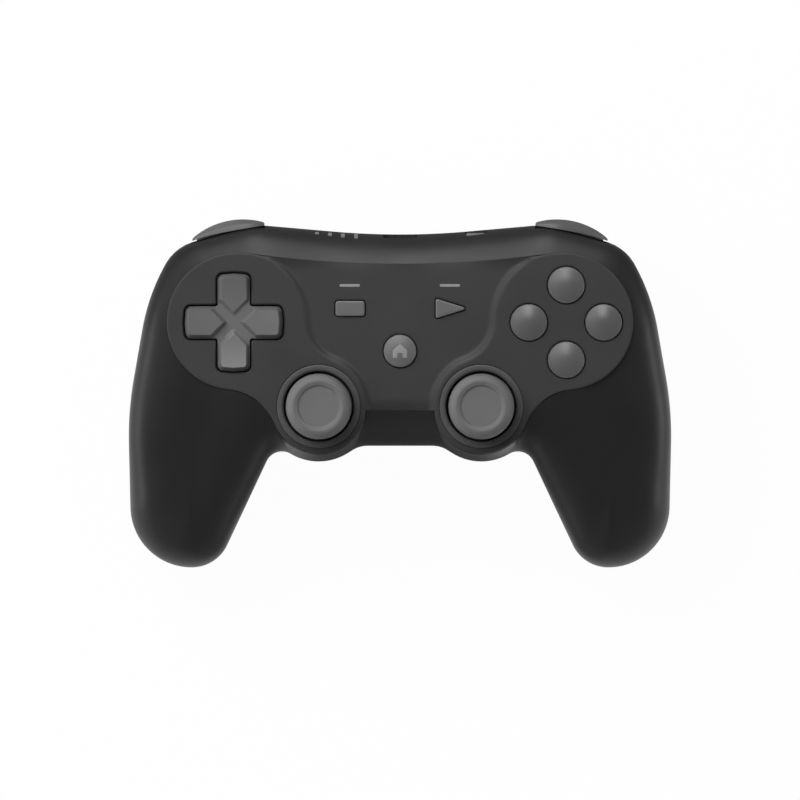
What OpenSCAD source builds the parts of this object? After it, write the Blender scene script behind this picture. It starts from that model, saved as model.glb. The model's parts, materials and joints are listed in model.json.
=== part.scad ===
// Two-stick gamepad lying on its back, face up.
// +X is the player's right, +Y points to the shoulder edge, +Z is up out of the face, and Z = 0 is the table.

/* [Housing] */
// Width across both grips
body_w = 160; // [150:1:170]
// Height of the shoulder corners above the middle
shoulder_y = 49.8; // [47:0.1:52]
// Middle of the shoulder edge
dip_y = 46.9; // [45:0.1:49]
// End of the grips
grip_y = -51.3; // [-56:0.1:-48]
// Lower edge between the sticks
chin_y = -15.4; // [-17:0.1:-14]
// Wall thickness of the shells
wall = 2.2; // [1.6:0.1:3]
// Gap along the parting line
seam_gap = 0.1; // [0.05:0.05:0.4]
// Parting line height along the shoulder
seam_z = 27; // [26:0.5:29]
// Parting line drop at the grip ends
seam_drop = 10; // [6:0.5:12]
// Height of the shell's crown at the middle
crown_z = 46.8; // [46:0.1:48]
// Fall of the crown from the middle to the grips
crown_drop = 14.8; // [13:0.1:17]
// Underside of the belly
belly_z = 13; // [11:0.5:14]
// Depth that the grip feet are cut flat
foot_cut = 0.5; // [0.2:0.1:1]

/* [Face plate] */
// Top of the raised islands
island_z = 42; // [41.6:0.1:42.4]
// Top of the middle panel
panel_z = 41; // [40.6:0.1:41.4]
// Pocket floor that the plate lies on
seat_z = 39.5; // [39:0.1:39.8]
// Underside of the shell's roof
roof_z = 37.5; // [37.3:0.1:37.8]
// Side gap of the plate in its pocket
plate_gap = 0.15; // [0.1:0.05:0.3]
// Radius of the D-pad and button islands
island_r = 19.9; // [19.5:0.1:20.3]
// Radius of the stick islands
stick_island_r = 13.6; // [13.3:0.1:14]
// Hollow fillet between the two islands
island_fillet = 13; // [11:0.5:16]

/* [D-pad and buttons] */
// Sideways place of the control clusters
cluster_x = 48.9; // [48:0.1:50]
// Upward place of the control clusters
cluster_y = 20.9; // [20.5:0.1:21.5]
// D-pad span
dpad_span = 28.6; // [27:0.1:29]
// D-pad arm width
dpad_arm = 9.2; // [8:0.1:10]
// Gap round the D-pad in its cross-shaped hole
dpad_gap = 0.65; // [0.6:0.05:0.8]
// D-pad tilting height
dpad_pivot_z = 38.5; // [38.3:0.1:38.8]
// Radius of the D-pad pivot bead
bead_r = 1.8; // [1.5:0.1:2]
// Face button radius
button_r = 5.4; // [5:0.1:5.6]
// Face button distance from the middle of its cluster
button_reach = 11; // [10.7:0.1:11.4]
// Top of the face buttons and of the D-pad
button_z = 44; // [43.5:0.1:44.4]
// Gap round each button in its hole
button_gap = 0.25; // [0.2:0.05:0.4]
// Height of each button's flange
flange_t = 1.5; // [1:0.1:1.7]
// Home button radius
home_r = 4.8; // [4.4:0.1:5]
// Home button place up the panel
home_y = 12.5; // [11.5:0.5:13.5]
// Select and start place to the side
small_x = 14.7; // [14:0.1:15.5]
// Select and start place up the panel
small_y = 25; // [24:0.1:26]
// Select button length
select_w = 8.6; // [7.5:0.1:9]
// Select button height
select_h = 4.5; // [4:0.1:5]

/* [Sticks] */
// Sideways place of the sticks
stick_x = 23.9; // [23.6:0.1:24.2]
// Upward place of the sticks
stick_y = -3.8; // [-4:0.1:-3.6]
// Tilting height of the sticks
pivot_z = 33; // [32.8:0.1:33.2]
// Thumb cap radius
cap_r = 9.75; // [9:0.05:10]
// Dished middle of the thumb cap
dish_r = 6.3; // [5.5:0.1:7]
// Top of the thumb cap
cap_z = 52.5; // [52.3:0.1:53]
// Radius of the round skirt under the cap
dome_r = 11; // [10.8:0.1:11.1]
// Inner radius of the stick ring
ring_in = 10.35; // [10.1:0.05:10.6]
// Outer radius of the stick ring
ring_out = 12.25; // [12:0.05:12.5]
// Radial play of the stick's pins and stem
pin_play = 0.05; // [0.03:0.01:0.08]

/* [Shoulder controls] */
// Height range start of the bumpers
bumper_z0 = 28.5; // [28.2:0.1:28.8]
// Top of the bumpers
bumper_z1 = 36.6; // [36:0.1:37]
// Width of the bumper's flat top band
bumper_band = 1.7; // [1.4:0.1:2]
// Radius of the trigger pins
pin_r = 1.5; // [1.3:0.1:1.6]
// Trigger hinge place
hinge_y = 41.5; // [41:0.1:42]
// Trigger hinge height
hinge_z = 23; // [22.8:0.1:23.2]

/* [Electronics] */
// Top of the main board
board_z = 28; // [27.9:0.1:28.2]
// Thickness of the main board
board_t = 1.6; // [1.2:0.1:1.7]
// Charge port opening width
port_w = 10; // [9:0.1:11]
// Charge port opening height
port_h = 5; // [4.6:0.1:5.2]
// Battery length
battery_w = 44; // [36:1:46]
// Battery width
battery_d = 30; // [24:1:32]
// Battery thickness
battery_t = 8; // [6:0.5:9]
// Rumble motor radius
motor_r = 9; // [7:0.5:9.5]
// Rumble motor length
motor_l = 13; // [11:0.5:14]

/* [Hidden] */
$fn = 64;

half_w = body_w / 2;
shell_colour = "#242424";
plate_colour = "#3e3e3e";
control_colour = "#6a6a6a";
button_colour = "#585858";
metal_colour = "#b8b8bc";
rubber_colour = "#8d8f92";
board_colour = "#1f5a34";

// Corners of the right half of the outline: x, y, corner radius and station along the spine
shoulder = [half_w - 36, shoulder_y];
outer_corners = [
    concat(shoulder, [20, 0.33]),
    [half_w - 13.4, shoulder_y - 6.8, 14, 0.43],
    [half_w - 5.7, shoulder_y - 21.5, 60, 0.5],
    [half_w + 0.1, -5, 100, 0.68],
    [half_w - 0.8, grip_y, 18, 0.88]];
inner_corners = [
    [half_w - 25.9, grip_y, 11.5, 0.9],
    [stick_x + 13, stick_y - 11.1, 5, 0.4],
    [stick_x, stick_y - 19.1, 16.2, 0.17],
    [stick_x - 12, chin_y, 8, 0.065]];
dip_radius = 226;
dip_corner_y = dip_y - 0.82;
grip_mid_x = half_w - 18;
grip_tip = [grip_mid_x - 0.4, grip_y];
spine_end = [grip_mid_x, grip_y + 17.3];
spine_start_y = 17;
spine_round = 0.714;
sections = 30;
steps = 6;
arc_steps = 8;

function unit(v) = v / norm(v);
function turn_to(d) = d > 180 ? d - 360 : d < -180 ? d + 360 : d;
function corner_arc(a, b, c, r) =
    let (u = unit(a - b), v = unit(c - b), h = acos(u * v) / 2)
    let (mid = b + unit(u + v) * (r / sin(h)), p = b + u * (r / tan(h)), q = b + v * (r / tan(h)))
    let (a0 = atan2(p[1] - mid[1], p[0] - mid[0]))
    let (turn = turn_to(atan2(q[1] - mid[1], q[0] - mid[0]) - a0))
    [for (i = [0 : arc_steps]) mid + r * [cos(a0 + turn * i / arc_steps), sin(a0 + turn * i / arc_steps)]];
function xy(c) = [c[0], c[1]];
function running(pts, i = 0, sum = 0) =
    i == len(pts) - 1 ? [sum] : concat([sum], running(pts, i + 1, sum + norm(pts[i + 1] - pts[i])));

// A chain runs from the middle of the pad to the tip of a grip, each point with its spine station
function chain(start, corners, finish, first) =
    let (ends = concat([start], [for (c = corners) xy(c)], [finish]))
    let (arcs = [for (i = [0 : len(corners) - 1])
        corner_arc(ends[i], ends[i + 1], ends[i + 2], corners[i][2])])
    let (pts = concat(first, [for (a = arcs, p = a) p], [finish]))
    let (along = running(pts))
    let (middles = [for (i = [0 : len(arcs) - 1])
        [along[len(first) + i * (arc_steps + 1) + arc_steps / 2], corners[i][3]]])
    let (stations = concat([[0, 0]], middles, [[along[len(along) - 1], 1]]))
    [for (i = [0 : len(pts) - 1]) [lookup(along[i], stations), pts[i][0], pts[i][1]]];

function dip_arc() =
    let (full = corner_arc([-shoulder[0], shoulder[1]], [0, dip_corner_y], shoulder, dip_radius))
    [for (i = [arc_steps / 2 : arc_steps]) full[i]];
function turned(list) = [for (i = [len(list) - 1 : -1 : 0]) list[i]];
function outer_chain() = chain([0, dip_corner_y], outer_corners, grip_tip, dip_arc());
function inner_chain() = chain([0, chin_y], turned(inner_corners), grip_tip, [[0, chin_y]]);
function sample(table) =
    let (tx = [for (p = table) [p[0], p[1]]], ty = [for (p = table) [p[0], p[2]]])
    [for (k = [0 : sections]) [lookup(k / sections, tx), lookup(k / sections, ty)]];
function spine(w) = [
    spine_end[0] * pow(sin(90 * w), spine_round),
    spine_end[1] + (spine_start_y - spine_end[1]) * pow(cos(90 * w), spine_round)];
function smooth(t) = let (s = max(0, min(1, t))) s * s * (3 - 2 * s);
function seam(y) = seam_z - seam_drop * smooth((-5 - y) / 40);
function crown(w) = crown_z - crown_drop * pow(w, 1.9);
function keel(w) = belly_z - (belly_z + foot_cut) * smooth((w - 0.25) / 0.6);
function fullness_out(w) = 2 + 2 * pow(sin(180 * w), 4);
function fullness_in(w) = 1.86 + 0.24 * min(1, w / 0.1);
function bow(u, n) = pow(1 - pow(1 - u, n), 1 / n);
function across(j) = 1 - cos(90 * j / steps);

// Points of an outline moved inwards by a wall
function inset(pts, d, turn) = [for (k = [0 : sections])
    let (a = pts[max(0, k - 1)], b = pts[min(sections, k + 1)], t = unit(b - a))
    k == 0 ? pts[k] - [0, d * turn] :
    k == sections ? pts[k] + [0, d] :
    pts[k] + d * turn * [t[1], -t[0]]];

// One skin of a shell half: sections fan from the left grip over the middle to the right grip
function skin(upper, inner) =
    let (d = inner ? wall : 0)
    let (raw_out = sample(outer_chain()), raw_in = sample(inner_chain()))
    let (out = inset(raw_out, d, 1), in = inset(raw_in, d, -1))
    [for (s = [-sections : sections])
        let (k = abs(s), w = k / sections, side = s < 0 ? -1 : 1, back = spine(w))
        let (top = upper ? crown(w) - d : keel(w) + d)
        for (j = [0 : k == sections ? steps : 2 * steps])
            let (u = across(j <= steps ? j : 2 * steps - j), edge = j <= steps ? out[k] : in[k])
            let (rim = seam((j <= steps ? raw_out : raw_in)[k][1]) + (upper ? seam_gap / 2 : -seam_gap / 2))
            let (n = !upper ? 2.4 : j <= steps ? fullness_out(w) : fullness_in(w))
            let (p = edge + (back - edge) * u, z = rim + (top - rim) * bow(u, n))
            [side * p[0], p[1], inner && upper ? min(roof_z, z) : z]];

skin_count = 2 * (steps + 1) + (2 * sections - 1) * (2 * steps + 1);
function vertex(s, j) =
    s == 0 ? (j > steps ? 2 * steps - j : j) :
    steps + 1 + (s - 1) * (2 * steps + 1) + (s == 2 * sections && j > steps ? 2 * steps - j : j);
function rim_loop() = concat(
    [for (s = [0 : 2 * sections]) vertex(s, 0)],
    [for (s = [2 * sections - 1 : -1 : 1]) vertex(s, 2 * steps)]);
function skin_faces(shift, flip) = [
    for (s = [0 : 2 * sections - 1], j = [0 : 2 * steps - 1])
        let (a = vertex(s, j), b = vertex(s + 1, j), c = vertex(s + 1, j + 1), e = vertex(s, j + 1))
        for (t = [[a, b, c], [a, c, e]])
            flip ? [t[0] + shift, t[2] + shift, t[1] + shift] : [t[0] + shift, t[1] + shift, t[2] + shift]];
function rim_faces(flip) =
    let (loop = rim_loop(), count = len(loop))
    [for (i = [0 : count - 1])
        let (a = loop[i], b = loop[(i + 1) % count], c = b + skin_count, e = a + skin_count)
        for (t = [[a, b, c], [a, c, e]]) flip ? [t[0], t[2], t[1]] : t];

module shell_half(upper) {
    points = concat(skin(upper, false), skin(upper, true));
    faces = concat(skin_faces(0, !upper), skin_faces(skin_count, upper), rim_faces(upper));
    polyhedron(points, faces);
}

// Face plate outline
island = [49, 21.8];
stick = [stick_x, stick_y];
panel_top_r = 320;
panel_top_y = 38.1;
panel_low_y = -5;
fillet_bite = 0.03;
island_ledge = 0.05;
function fillet_centre(a, ra, b, rb, turn) =
    let (d = norm(b - a), along = (ra * ra - rb * rb + d * d) / (2 * d))
    let (up = sqrt(ra * ra - along * along), e = unit(b - a))
    a + e * along + turn * up * [-e[1], e[0]];

module island_2d(c) {
    r1 = island_r + c;
    r2 = stick_island_r + c;
    f = island_fillet - c;
    low = fillet_centre(island, r1 + f - fillet_bite, stick, r2 + f - fillet_bite, 1);
    high = fillet_centre(island, r1 + f - fillet_bite, stick, r2 + f - fillet_bite, -1);
    translate(island) circle(r1);
    translate(stick) circle(r2);
    difference() {
        polygon([island, low, stick, high]);
        translate(low) circle(f);
        translate(high) circle(f);
    }
}

module panel_2d(c) {
    difference() {
        polygon([
            [-stick_x, panel_low_y - c], [stick_x, panel_low_y - c], [stick_x, 5], [45, 25], [45, 42],
            [-45, 42], [-45, 25], [-stick_x, 5]]);
        translate([0, panel_top_y + panel_top_r]) circle(panel_top_r - c, $fn = 200);
    }
}

module both_sides() {
    children();
    mirror([1, 0, 0]) children();
}

module plate_2d(c) {
    panel_2d(c);
    both_sides() island_2d(c);
}

// Control outlines, with a gap round them
module cross_2d(span, arm) {
    square([span, arm], center = true);
    square([arm, span], center = true);
}

module round_rect_2d(w, h, r) {
    square([w - 2 * r, h], center = true);
    square([w, h - 2 * r], center = true);
    for (x = [-1, 1], y = [-1, 1]) translate([x * (w / 2 - r), y * (h / 2 - r)]) circle(r);
}

start_corners = [[-3.1, 1.75], [-3.1, -1.75], [3.1, 0]];
start_round = 1.1;
side_bite = 0.01;
module start_2d(c) {
    r = start_round + c;
    side = r - side_bite;
    v = start_corners;
    polygon([for (i = [0 : 2])
        let (a = v[i], b = v[(i + 1) % 3], t = unit(b - a))
        for (p = [a, b]) p + side * [t[1], -t[0]]]);
    for (p = v) translate(p) circle(r);
}

module select_2d(c) {
    round_rect_2d(select_w + 2 * c, select_h + 2 * c, 0.8 + c);
}

button_spots = [[0, 1], [1, 0], [0, -1], [-1, 0]];
function button_at(i) = [cluster_x, cluster_y] + button_reach * button_spots[i];
hole_z0 = roof_z - 6;
hole_h = 12;

module control_holes(c) {
    for (i = [0 : 3]) translate(concat(button_at(i), hole_z0)) cylinder(h = hole_h, r = button_r + c);
    translate([-cluster_x, cluster_y, hole_z0])
        linear_extrude(hole_h) cross_2d(dpad_span + 2 * dpad_gap, dpad_arm + 2 * dpad_gap);
    translate([0, home_y, hole_z0]) cylinder(h = hole_h, r = home_r + c);
    translate([-small_x, small_y, hole_z0]) linear_extrude(hole_h) select_2d(c);
    translate([small_x, small_y, hole_z0]) linear_extrude(hole_h) start_2d(c);
}

// Bumper band: its inner line and its front are circles through three points
function circle_mid(a, b, c) =
    let (d = 2 * (a[0] * (b[1] - c[1]) + b[0] * (c[1] - a[1]) + c[0] * (a[1] - b[1])))
    let (sa = a * a, sb = b * b, sc = c * c)
    [(sa * (b[1] - c[1]) + sb * (c[1] - a[1]) + sc * (a[1] - b[1])) / d,
     (sa * (c[0] - b[0]) + sb * (a[0] - c[0]) + sc * (b[0] - a[0])) / d];
bumper_left_x = half_w - 40.2;
bumper_right_x = half_w - 18.7;
bumper_in_pts = [
    [bumper_left_x, shoulder_y - 0.5],
    [bumper_left_x + 9, shoulder_y - 1.95],
    [bumper_right_x, shoulder_y - 5.1]];
bumper_front_pts = [
    [bumper_left_x + 0.4, shoulder_y + 0.7],
    [bumper_left_x + 7.2, shoulder_y + 1.5],
    [bumper_right_x - 0.5, shoulder_y - 3.8]];
bumper_mid = circle_mid(bumper_in_pts[0], bumper_in_pts[1], bumper_in_pts[2]);
bumper_in_r = norm(bumper_in_pts[0] - bumper_mid);
front_mid = circle_mid(bumper_front_pts[0], bumper_front_pts[1], bumper_front_pts[2]);
front_r = norm(bumper_front_pts[0] - front_mid);
// A bumper rocks on its upper inner edge, so that its top gap stays narrow
bumper_axis_z = 35.5;
bumper_angle = 6;
bumper_travel = (bumper_axis_z - bumper_z0) * sin(bumper_angle);
bumper_gap = 0.35;
bumper_room = 0.4;
bumper_split_z = 33.5;
leg_x0 = bumper_left_x + 6.2;
leg_x1 = leg_x0 + 9;
leg_y0 = shoulder_y - 8;
leg_d = 7;
leg_h = 4.5;

module bumper_band(gap, top) {
    low = bumper_z0 - bumper_room;
    difference() {
        translate([bumper_left_x - bumper_room, 30, low])
            cube([bumper_right_x - bumper_left_x + 2 * bumper_room, 30, top - low]);
        translate(concat(bumper_mid, 0)) cylinder(h = 80, r = bumper_in_r - gap, $fn = 200);
    }
}

module bumper_cut() {
    depth = bumper_travel + bumper_room;
    bumper_band(bumper_gap, bumper_z1 + 6);
    bumper_band(depth, bumper_split_z);
    translate([leg_x0 - bumper_room, leg_y0 - depth, bumper_z0 - bumper_room])
        cube([leg_x1 - leg_x0 + 2 * bumper_room, 12, leg_h + 3.5 * bumper_room]);
}

// Shoulder edge fittings: sync button, indicators and charge port
lens_x = [-24.4, -20.6, -16.8, -12.9];
lens_w = 1.35;
lens_z0 = 29.6;
lens_h = 3.4;
lens_gap = 0.05;
sync_x = half_w - 57.6;
sync_w = 6;
sync_h = 3.4;
sync_z = 31.2;
sync_gap = 0.3;
sync_y0 = 38;
port_z = board_z + 2.1;
function edge_y(x) = dip_y + x * x / 640;

module edge_holes() {
    for (x = lens_x)
        translate([x - lens_w / 2 - lens_gap, 40, lens_z0 - lens_gap])
            cube([lens_w + 2 * lens_gap, 12, lens_h + 2 * lens_gap]);
    translate([sync_x, 40, sync_z]) rotate([-90, 0, 0])
        linear_extrude(12) round_rect_2d(sync_w + 2 * sync_gap, sync_h + 2 * sync_gap, 1.2);
    translate([0, 38, port_z]) rotate([-90, 0, 0])
        linear_extrude(14) round_rect_2d(port_w, port_h, 1.4);
}

// Trigger housing place
pod_x0 = half_w - 43;
pod_x1 = half_w - 16;
pod_y0 = 30;
pod_fit = 0.2;

// Screws: place, height of the head's seat and start of the boss, which is rooted in the keel's wall
function spine_station(y) =
    acos(pow((y - spine_end[1]) / (spine_start_y - spine_end[1]), 1 / spine_round)) / 90;
grip_screw_y = grip_y + 43.3;
grip_boss_z = keel(spine_station(grip_screw_y)) + 1.2 * wall;
shoulder_screw_x = pod_x0 - 5;
screws = [
    [shoulder_screw_x, 36, 20, 17], [-shoulder_screw_x, 36, 20, 17],
    [grip_mid_x, grip_screw_y, 12, grip_boss_z], [-grip_mid_x, grip_screw_y, 12, grip_boss_z],
    [0, chin_y + 8.9, 21, 18.4]];
screw_r = 1.2;
screw_top = 36;
head_r = 2.5;
head_h = 1.8;
boss_z = 30;
boss_r = 3;
low_boss_r = 3.3;

barrel_z0 = seam_z;
barrel_r0 = 15.95;
barrel_r1 = stick_island_r + 0.35;
dome_hole_r = dome_r + 0.5;
board_room = 0.4;

module upper_shell() {
    color(shell_colour) difference() {
        union() {
            shell_half(true);
            both_sides() translate(concat(stick, barrel_z0))
                cylinder(h = panel_z - barrel_z0, r1 = barrel_r0, r2 = barrel_r1);
            for (s = screws) translate([s[0], s[1], boss_z]) cylinder(h = roof_z + 0.4 - boss_z, r = boss_r);
        }
        both_sides() translate(concat(stick, barrel_z0 - 1.5))
            cylinder(h = roof_z - barrel_z0 + 1.5, r1 = barrel_r0 - 1.9, r2 = barrel_r1 - 1.5);
        both_sides() translate(concat(stick, barrel_z0)) cylinder(h = 20, r = dome_hole_r);
        translate([0, 0, seat_z]) linear_extrude(10) plate_2d(plate_gap);
        control_holes(button_gap);
        both_sides() bumper_cut();
        edge_holes();
        for (s = screws) translate([s[0], s[1], boss_z - 1])
            cylinder(h = screw_top + 1.3 - boss_z, r = screw_r + pin_play);
        translate([0, 0, board_z - board_t - board_room])
            linear_extrude(board_t + 2 * board_room) board_2d(board_room);
    }
}

// Motors and battery in the lower shell
saddle_ys = [grip_y + 34.3, grip_y + 27.3];
saddle_t = 2;
motor_x = grip_mid_x;
motor_y = grip_y + 37.3;
motor_z = 17;
battery_y = 14;
battery_z = 16.4;

module motor_saddle(y) {
    translate([motor_x, y, 0]) difference() {
        translate([-7, 0, 3]) cube([14, saddle_t, motor_z - 5]);
        translate([0, -1, motor_z]) rotate([-90, 0, 0]) cylinder(h = saddle_t + 2, r = motor_r + 0.05);
    }
}

module lower_shell() {
    color(shell_colour) difference() {
        union() {
            shell_half(false);
            for (s = screws) translate([s[0], s[1], s[3]]) cylinder(h = boss_z - 0.1 - s[3], r = low_boss_r);
            for (x = [-1, 1], y = [-1, 1])
                translate([x * (battery_w / 2 - 4), battery_y + y * (battery_d / 2 - 5), belly_z + 1.2])
                    cylinder(h = battery_z - belly_z - 1.2, r = 2);
            both_sides() for (y = saddle_ys) motor_saddle(y);
        }
        translate([-100, -100, -20]) cube([200, 200, 20]);
        both_sides() translate([pod_x0 - pod_fit, pod_y0 - pod_fit, -5])
            cube([pod_x1 - pod_x0 + 2 * pod_fit, 40, 60]);
        for (s = screws) {
            translate([s[0], s[1], -5]) cylinder(h = s[2] + 5, r = head_r + 0.3);
            translate([s[0], s[1], -5]) cylinder(h = 60, r = screw_r + 0.3);
        }
    }
}

ring_seat_z = 40.2;
ring_lip = 0.35;
module face_plate() {
    color(plate_colour) difference() {
        union() {
            translate([0, 0, seat_z]) linear_extrude(panel_z - seat_z) plate_2d(0);
            both_sides() translate([0, 0, seat_z + 0.5]) linear_extrude(island_z - seat_z - 0.5)
                island_2d(-island_ledge);
        }
        control_holes(button_gap);
        both_sides() translate(concat(stick, seat_z - 1)) cylinder(h = 10, r = dome_hole_r);
        both_sides() translate(concat(stick, ring_seat_z)) cylinder(h = 10, r = ring_out + 0.02);
    }
}

module stick_ring() {
    h = island_z - ring_seat_z + ring_lip;
    color(control_colour) translate(concat(stick, ring_seat_z)) rotate_extrude()
        polygon([
            [ring_in, 0], [ring_out, 0], [ring_out, h - 0.3], [ring_out - 0.3, h], [ring_in + 0.4, h],
            [ring_in, h - 0.4]]);
}

// D-pad: a cross with four raised pads, a retaining flange and a socket for the pivot bead
pad_low = 1.5;
pad_w = 7.5;
pad_tip = 2.2;
pad_dish = 1.2;
dpad_flange_r = 11;
dpad_flange_z = 34.2;
dpad_well_r = 3.4;
module dpad() {
    color(control_colour) translate([-cluster_x, cluster_y, 0]) difference() {
        union() {
            translate([0, 0, dpad_flange_z + 1]) linear_extrude(button_z - pad_low - dpad_flange_z - 1)
                cross_2d(dpad_span, dpad_arm);
            translate([0, 0, dpad_flange_z]) cylinder(h = flange_t, r = dpad_flange_r);
            for (a = [0 : 90 : 270]) rotate(a) translate([0, 0, button_z - pad_low - 0.5])
                linear_extrude(pad_low + 0.5) polygon([
                    [pad_tip, 0], [pad_tip + pad_w / 2, -pad_w / 2], [dpad_span / 2 - 0.7, -pad_w / 2],
                    [dpad_span / 2 - 0.7, pad_w / 2], [pad_tip + pad_w / 2, pad_w / 2]]);
        }
        translate([0, 0, dpad_flange_z - 1]) cylinder(h = dpad_pivot_z - dpad_flange_z + 1, r = dpad_well_r);
        translate([0, 0, dpad_pivot_z]) sphere(bead_r + pin_play);
        translate([0, 0, button_z - pad_dish])
            cylinder(h = pad_dish + 1, r1 = 0.01, r2 = dpad_span / 2 * (pad_dish + 1) / pad_dish);
    }
}

module dpad_bead() {
    color(metal_colour) translate([-cluster_x, cluster_y, dpad_pivot_z]) sphere(bead_r);
}

module dpad_post() {
    color(rubber_colour) translate([-cluster_x, cluster_y, board_z]) difference() {
        union() {
            cylinder(h = dpad_pivot_z - 0.6 - board_z, r = 2.2);
            cylinder(h = 1.2, r = 4);
        }
        translate([0, 0, dpad_pivot_z - board_z]) sphere(bead_r + pin_play);
    }
}

membrane_t = 1.2;
module dome_pad(r, h) {
    cylinder(h = h, r1 = r, r2 = r * 0.62);
}

module dpad_membrane() {
    color(rubber_colour) translate([-cluster_x, cluster_y, board_z]) difference() {
        union() {
            linear_extrude(membrane_t) cross_2d(27, 10);
            for (a = [0 : 90 : 270]) rotate(a) translate([9.2, 0, 0]) dome_pad(3.6, 4.6);
        }
        translate([0, 0, -1]) cylinder(h = 8, r = 4.2);
    }
}

// Round buttons: a domed cap over a flange and a leg
flange_gap = 0.4;
face_travel = 1.2;
leg_z = 33.5;
button_dome = 11;
module push_button(r, top, round_r, foot_z) {
    flange_z = roof_z - flange_gap - flange_t;
    intersection() {
        translate([0, 0, flange_z]) cylinder(h = top - flange_z, r = r);
        translate([0, 0, top - round_r]) sphere(round_r);
    }
    translate([0, 0, flange_z]) cylinder(h = flange_t, r = r + 1.1);
    translate([0, 0, foot_z]) cylinder(h = flange_z - foot_z + 0.5, r = r * 0.6);
}

module face_button(i) {
    color(button_colour) translate(button_at(i)) push_button(button_r, button_z, button_dome, leg_z);
}

module face_membrane() {
    color(rubber_colour) translate([cluster_x, cluster_y, board_z]) {
        linear_extrude(membrane_t) cross_2d(30, 9.6);
        for (s = button_spots) translate(button_reach * s) dome_pad(4, leg_z - face_travel - 0.3 - board_z);
    }
}

small_top = 41.9;
home_top = 42.6;
home_dome = 14;
small_leg_z = 31;
small_travel = 0.8;
module small_button() {
    flange_z = roof_z - flange_gap - flange_t;
    translate([0, 0, flange_z]) linear_extrude(small_top - flange_z) children(0);
    translate([0, 0, flange_z]) linear_extrude(flange_t) children(1);
    translate([0, 0, small_leg_z]) cylinder(h = flange_z - small_leg_z + 0.5, r = 1.6);
}

module select_button() {
    color(control_colour) translate([-small_x, small_y, 0]) small_button() {
        select_2d(0);
        select_2d(1);
    }
}

module start_button() {
    color(control_colour) translate([small_x, small_y, 0]) small_button() {
        start_2d(0);
        start_2d(1);
    }
}

module home_button() {
    color(control_colour) translate([0, home_y, 0]) push_button(home_r, home_top, home_dome, small_leg_z);
}

module centre_membrane() {
    pads = [[-small_x, small_y], [small_x, small_y], [0, home_y]];
    color(rubber_colour) translate([0, 0, board_z]) {
        translate([0, small_y]) linear_extrude(membrane_t) square([38, 8], center = true);
        translate([-4.5, home_y - 5]) linear_extrude(membrane_t) square([9, small_y - home_y + 5]);
        for (p = pads) translate(p) dome_pad(2.6, small_leg_z - small_travel - 0.3 - board_z);
    }
}

// Thumbstick: dished cap, neck, round skirt and stem, about its own pivot
skirt_t = 1;
skirt_angle = 80;
stem_r = 1.55;
neck_r = 3.4;
cap_t = 4;
hub_r = 3.2;
hub_h = 4;
yoke_in = 4.6;
yoke_out = 6.2;
yoke_t = 2.4;
yoke_pin_r = 1;
hub_pin_r = 0.9;
cheek_x0 = 7;
cheek_x1 = 8.4;
press = 0.6;

module thumbstick() {
    cap_h = cap_z - pivot_z;
    rim_h = cap_h - cap_t;
    rim_mid = (cap_r + dish_r) / 2;
    rim_half = (cap_r - dish_r) / 2;
    color(control_colour) translate(concat(stick, pivot_z)) {
        rotate_extrude() polygon(concat(
            [[0, -2.5], [stem_r, -2.5], [stem_r, hub_h / 2 + press + 0.3], [neck_r, hub_h / 2 + press + 0.3],
             [neck_r, rim_h - 0.5], [cap_r - 2.4, rim_h], [cap_r - 0.5, rim_h + 0.5], [cap_r, rim_h + 1.4],
             [cap_r, cap_h - 1.2]],
            [for (a = [15 : 15 : 165]) [rim_mid + rim_half * cos(a), cap_h - 1.2 + 1.2 * sin(a)]],
            [[dish_r, cap_h - 1.2], [0, cap_h - 1.6]]));
        rotate_extrude() difference() {
            circle(dome_r);
            circle(dome_r - skirt_t);
            translate([-40, -40]) square([40, 80]);
            polygon([[0, 0], [40 * sin(skirt_angle), 40 * cos(skirt_angle)], [40, -40], [0, -40]]);
            translate([0, -5]) square([1, 40]);
        }
    }
}

module stick_pivot() {
    color(rubber_colour) translate(concat(stick, pivot_z)) difference() {
        union() {
            translate([0, 0, -hub_h / 2]) cylinder(h = hub_h, r = hub_r);
            rotate([90, 0, 0]) cylinder(h = 2 * yoke_out - 0.2, r = hub_pin_r, center = true);
        }
        cylinder(h = 20, r = stem_r + pin_play, center = true);
    }
}

module stick_yoke() {
    color(metal_colour) translate(concat(stick, pivot_z)) difference() {
        union() {
            cylinder(h = yoke_t, r = yoke_out, center = true);
            rotate([0, 90, 0]) cylinder(h = 2 * cheek_x1, r = yoke_pin_r, center = true);
        }
        cylinder(h = 10, r = yoke_in, center = true);
        rotate([90, 0, 0]) cylinder(h = 30, r = hub_pin_r + pin_play, center = true);
    }
}

module stick_base() {
    color(metal_colour) translate(concat(stick, board_z)) difference() {
        union() {
            translate([-cheek_x1, -7, 0]) cube([2 * cheek_x1, 14, 1]);
            for (x = [-cheek_x1, cheek_x0]) translate([x, -2.5, 0])
                cube([cheek_x1 - cheek_x0, 5, pivot_z - board_z + 2]);
        }
        translate([0, 0, pivot_z - board_z]) rotate([0, 90, 0])
            cylinder(h = 30, r = yoke_pin_r + pin_play, center = true);
    }
}

module bumper() {
    low = 30.6;
    color(control_colour) {
        intersection() {
            translate(concat(bumper_mid, 0)) rotate_extrude($fn = 200) polygon([
                [bumper_in_r, bumper_z0], [bumper_in_r + 7, bumper_z0], [bumper_in_r + 7, low - 2],
                [bumper_in_r + bumper_band + 2.6, low], [bumper_in_r + bumper_band, bumper_z1],
                [bumper_in_r, bumper_z1]]);
            translate(concat(front_mid, 0)) cylinder(h = 60, r = front_r, $fn = 200);
            translate([bumper_left_x, 30, 0]) cube([bumper_right_x - bumper_left_x, 30, 60]);
        }
        translate([leg_x0, leg_y0, bumper_z0]) cube([leg_x1 - leg_x0, leg_d, leg_h]);
    }
}

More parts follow.
